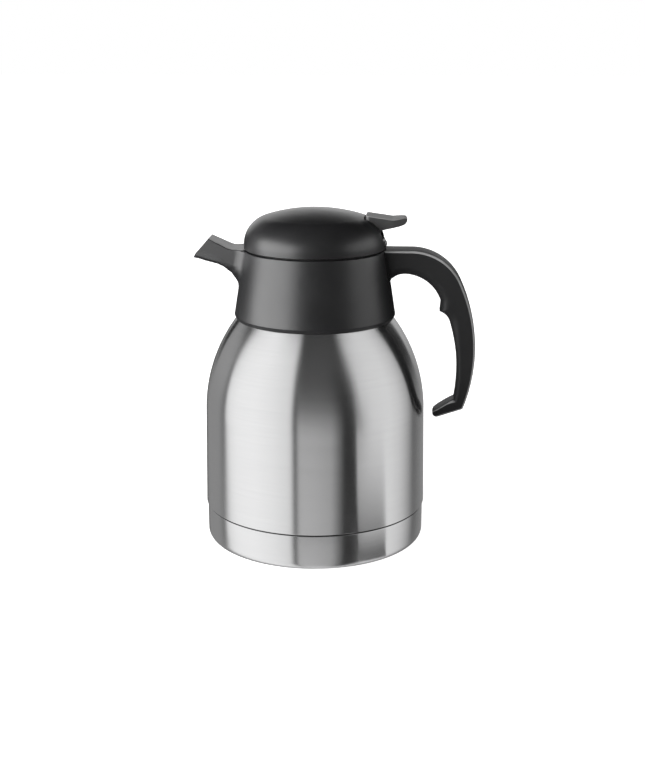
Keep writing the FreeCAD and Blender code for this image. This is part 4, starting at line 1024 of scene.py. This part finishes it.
def surround():
    """White to the camera and in reflections, and a softer grey as light."""
    soft_level, white_level = 0.2, 1.0
    world = bpy.data.worlds.new("studio")
    bpy.context.scene.world = world
    world.use_nodes = True
    tree = world.node_tree
    tree.nodes.clear()
    rays = add(tree, "LightPath").outputs
    seen = rays["Is Camera Ray"]
    for kind in ("Is Glossy Ray", "Is Transmission Ray"):
        seen = add(tree, "Math", {0: seen, 1: rays[kind]}, operation="MAXIMUM").outputs["Value"]
    soft = add(tree, "Background", {"Color": linear("ffffff"), "Strength": soft_level})
    white = add(tree, "Background", {"Color": linear("ffffff"), "Strength": white_level})
    mix = add(tree, "MixShader", {"Fac": seen})
    tree.links.new(soft.outputs["Background"], mix.inputs[1])
    tree.links.new(white.outputs["Background"], mix.inputs[2])
    add(tree, "OutputWorld", {"Surface": mix.outputs["Shader"]})


surround()


# The steel mirrors the wall's strips, so the lamps leave it out.
steel_pieces = bpy.data.collections.new("steel_pieces")
for piece in (barrel, cup):
    steel_pieces.objects.link(piece)
for entry in steel_pieces.collection_objects:
    entry.light_linking.link_state = "EXCLUDE"


def softbox(name, bearing, elevation, away, width, height, level):
    """Area lamp aimed at the jug's middle. Its level is the grey that it shows in a mirror."""
    jug_middle = Vector((0, 0, 0.12))
    light = bpy.data.lights.new(name, "AREA")
    light.shape = "RECTANGLE"
    light.size, light.size_y = width, height
    light.energy = level * math.pi * width * height
    lamp = bpy.data.objects.new(name, light)
    bpy.context.scene.collection.objects.link(lamp)
    a, e = math.radians(CAMERA_BEARING + bearing), math.radians(elevation)
    back = Vector((math.sin(a) * math.cos(e), -math.cos(a) * math.cos(e), math.sin(e)))
    lamp.location = back * away + jug_middle
    lamp.rotation_euler = (-back).to_track_quat("-Z", "Y").to_euler()
    lamp.visible_camera = False
    lamp.light_linking.receiver_collection = steel_pieces
    return lamp


softbox("left_softbox", bearing=-66, elevation=7, away=1.4, width=1.9, height=1.05, level=8.0)
left_key = softbox("left_key", bearing=-70, elevation=38, away=1.6, width=1.2, height=1.2, level=1.2)
left_key.visible_glossy = False
softbox("right_window", bearing=84, elevation=12, away=1.4, width=1.6, height=0.7, level=2.3)
softbox("back_light", bearing=180, elevation=14, away=1.6, width=1.9, height=0.62, level=2.0)


# Camera: a short telephoto at the photograph's height and bearing, turned a little to the right.
def camera():
    focal_pixels, tall_pixels = 1347, 774
    away, height = 814 * MM, 324.5 * MM
    pitch, turn = 15.73, 0.327
    lens = bpy.data.cameras.new("camera")
    lens.sensor_width = 36
    lens.lens = lens.sensor_width * focal_pixels / tall_pixels
    lens.clip_start = 0.01
    made = bpy.data.objects.new("camera", lens)
    bpy.context.scene.collection.objects.link(made)
    a = math.radians(CAMERA_BEARING)
    made.location = (away * math.sin(a), -away * math.cos(a), height)
    made.rotation_euler = (math.radians(90 - pitch), 0, math.radians(CAMERA_BEARING - turn))
    bpy.context.scene.camera = made


camera()
bpy.context.scene.view_settings.view_transform = "Standard"
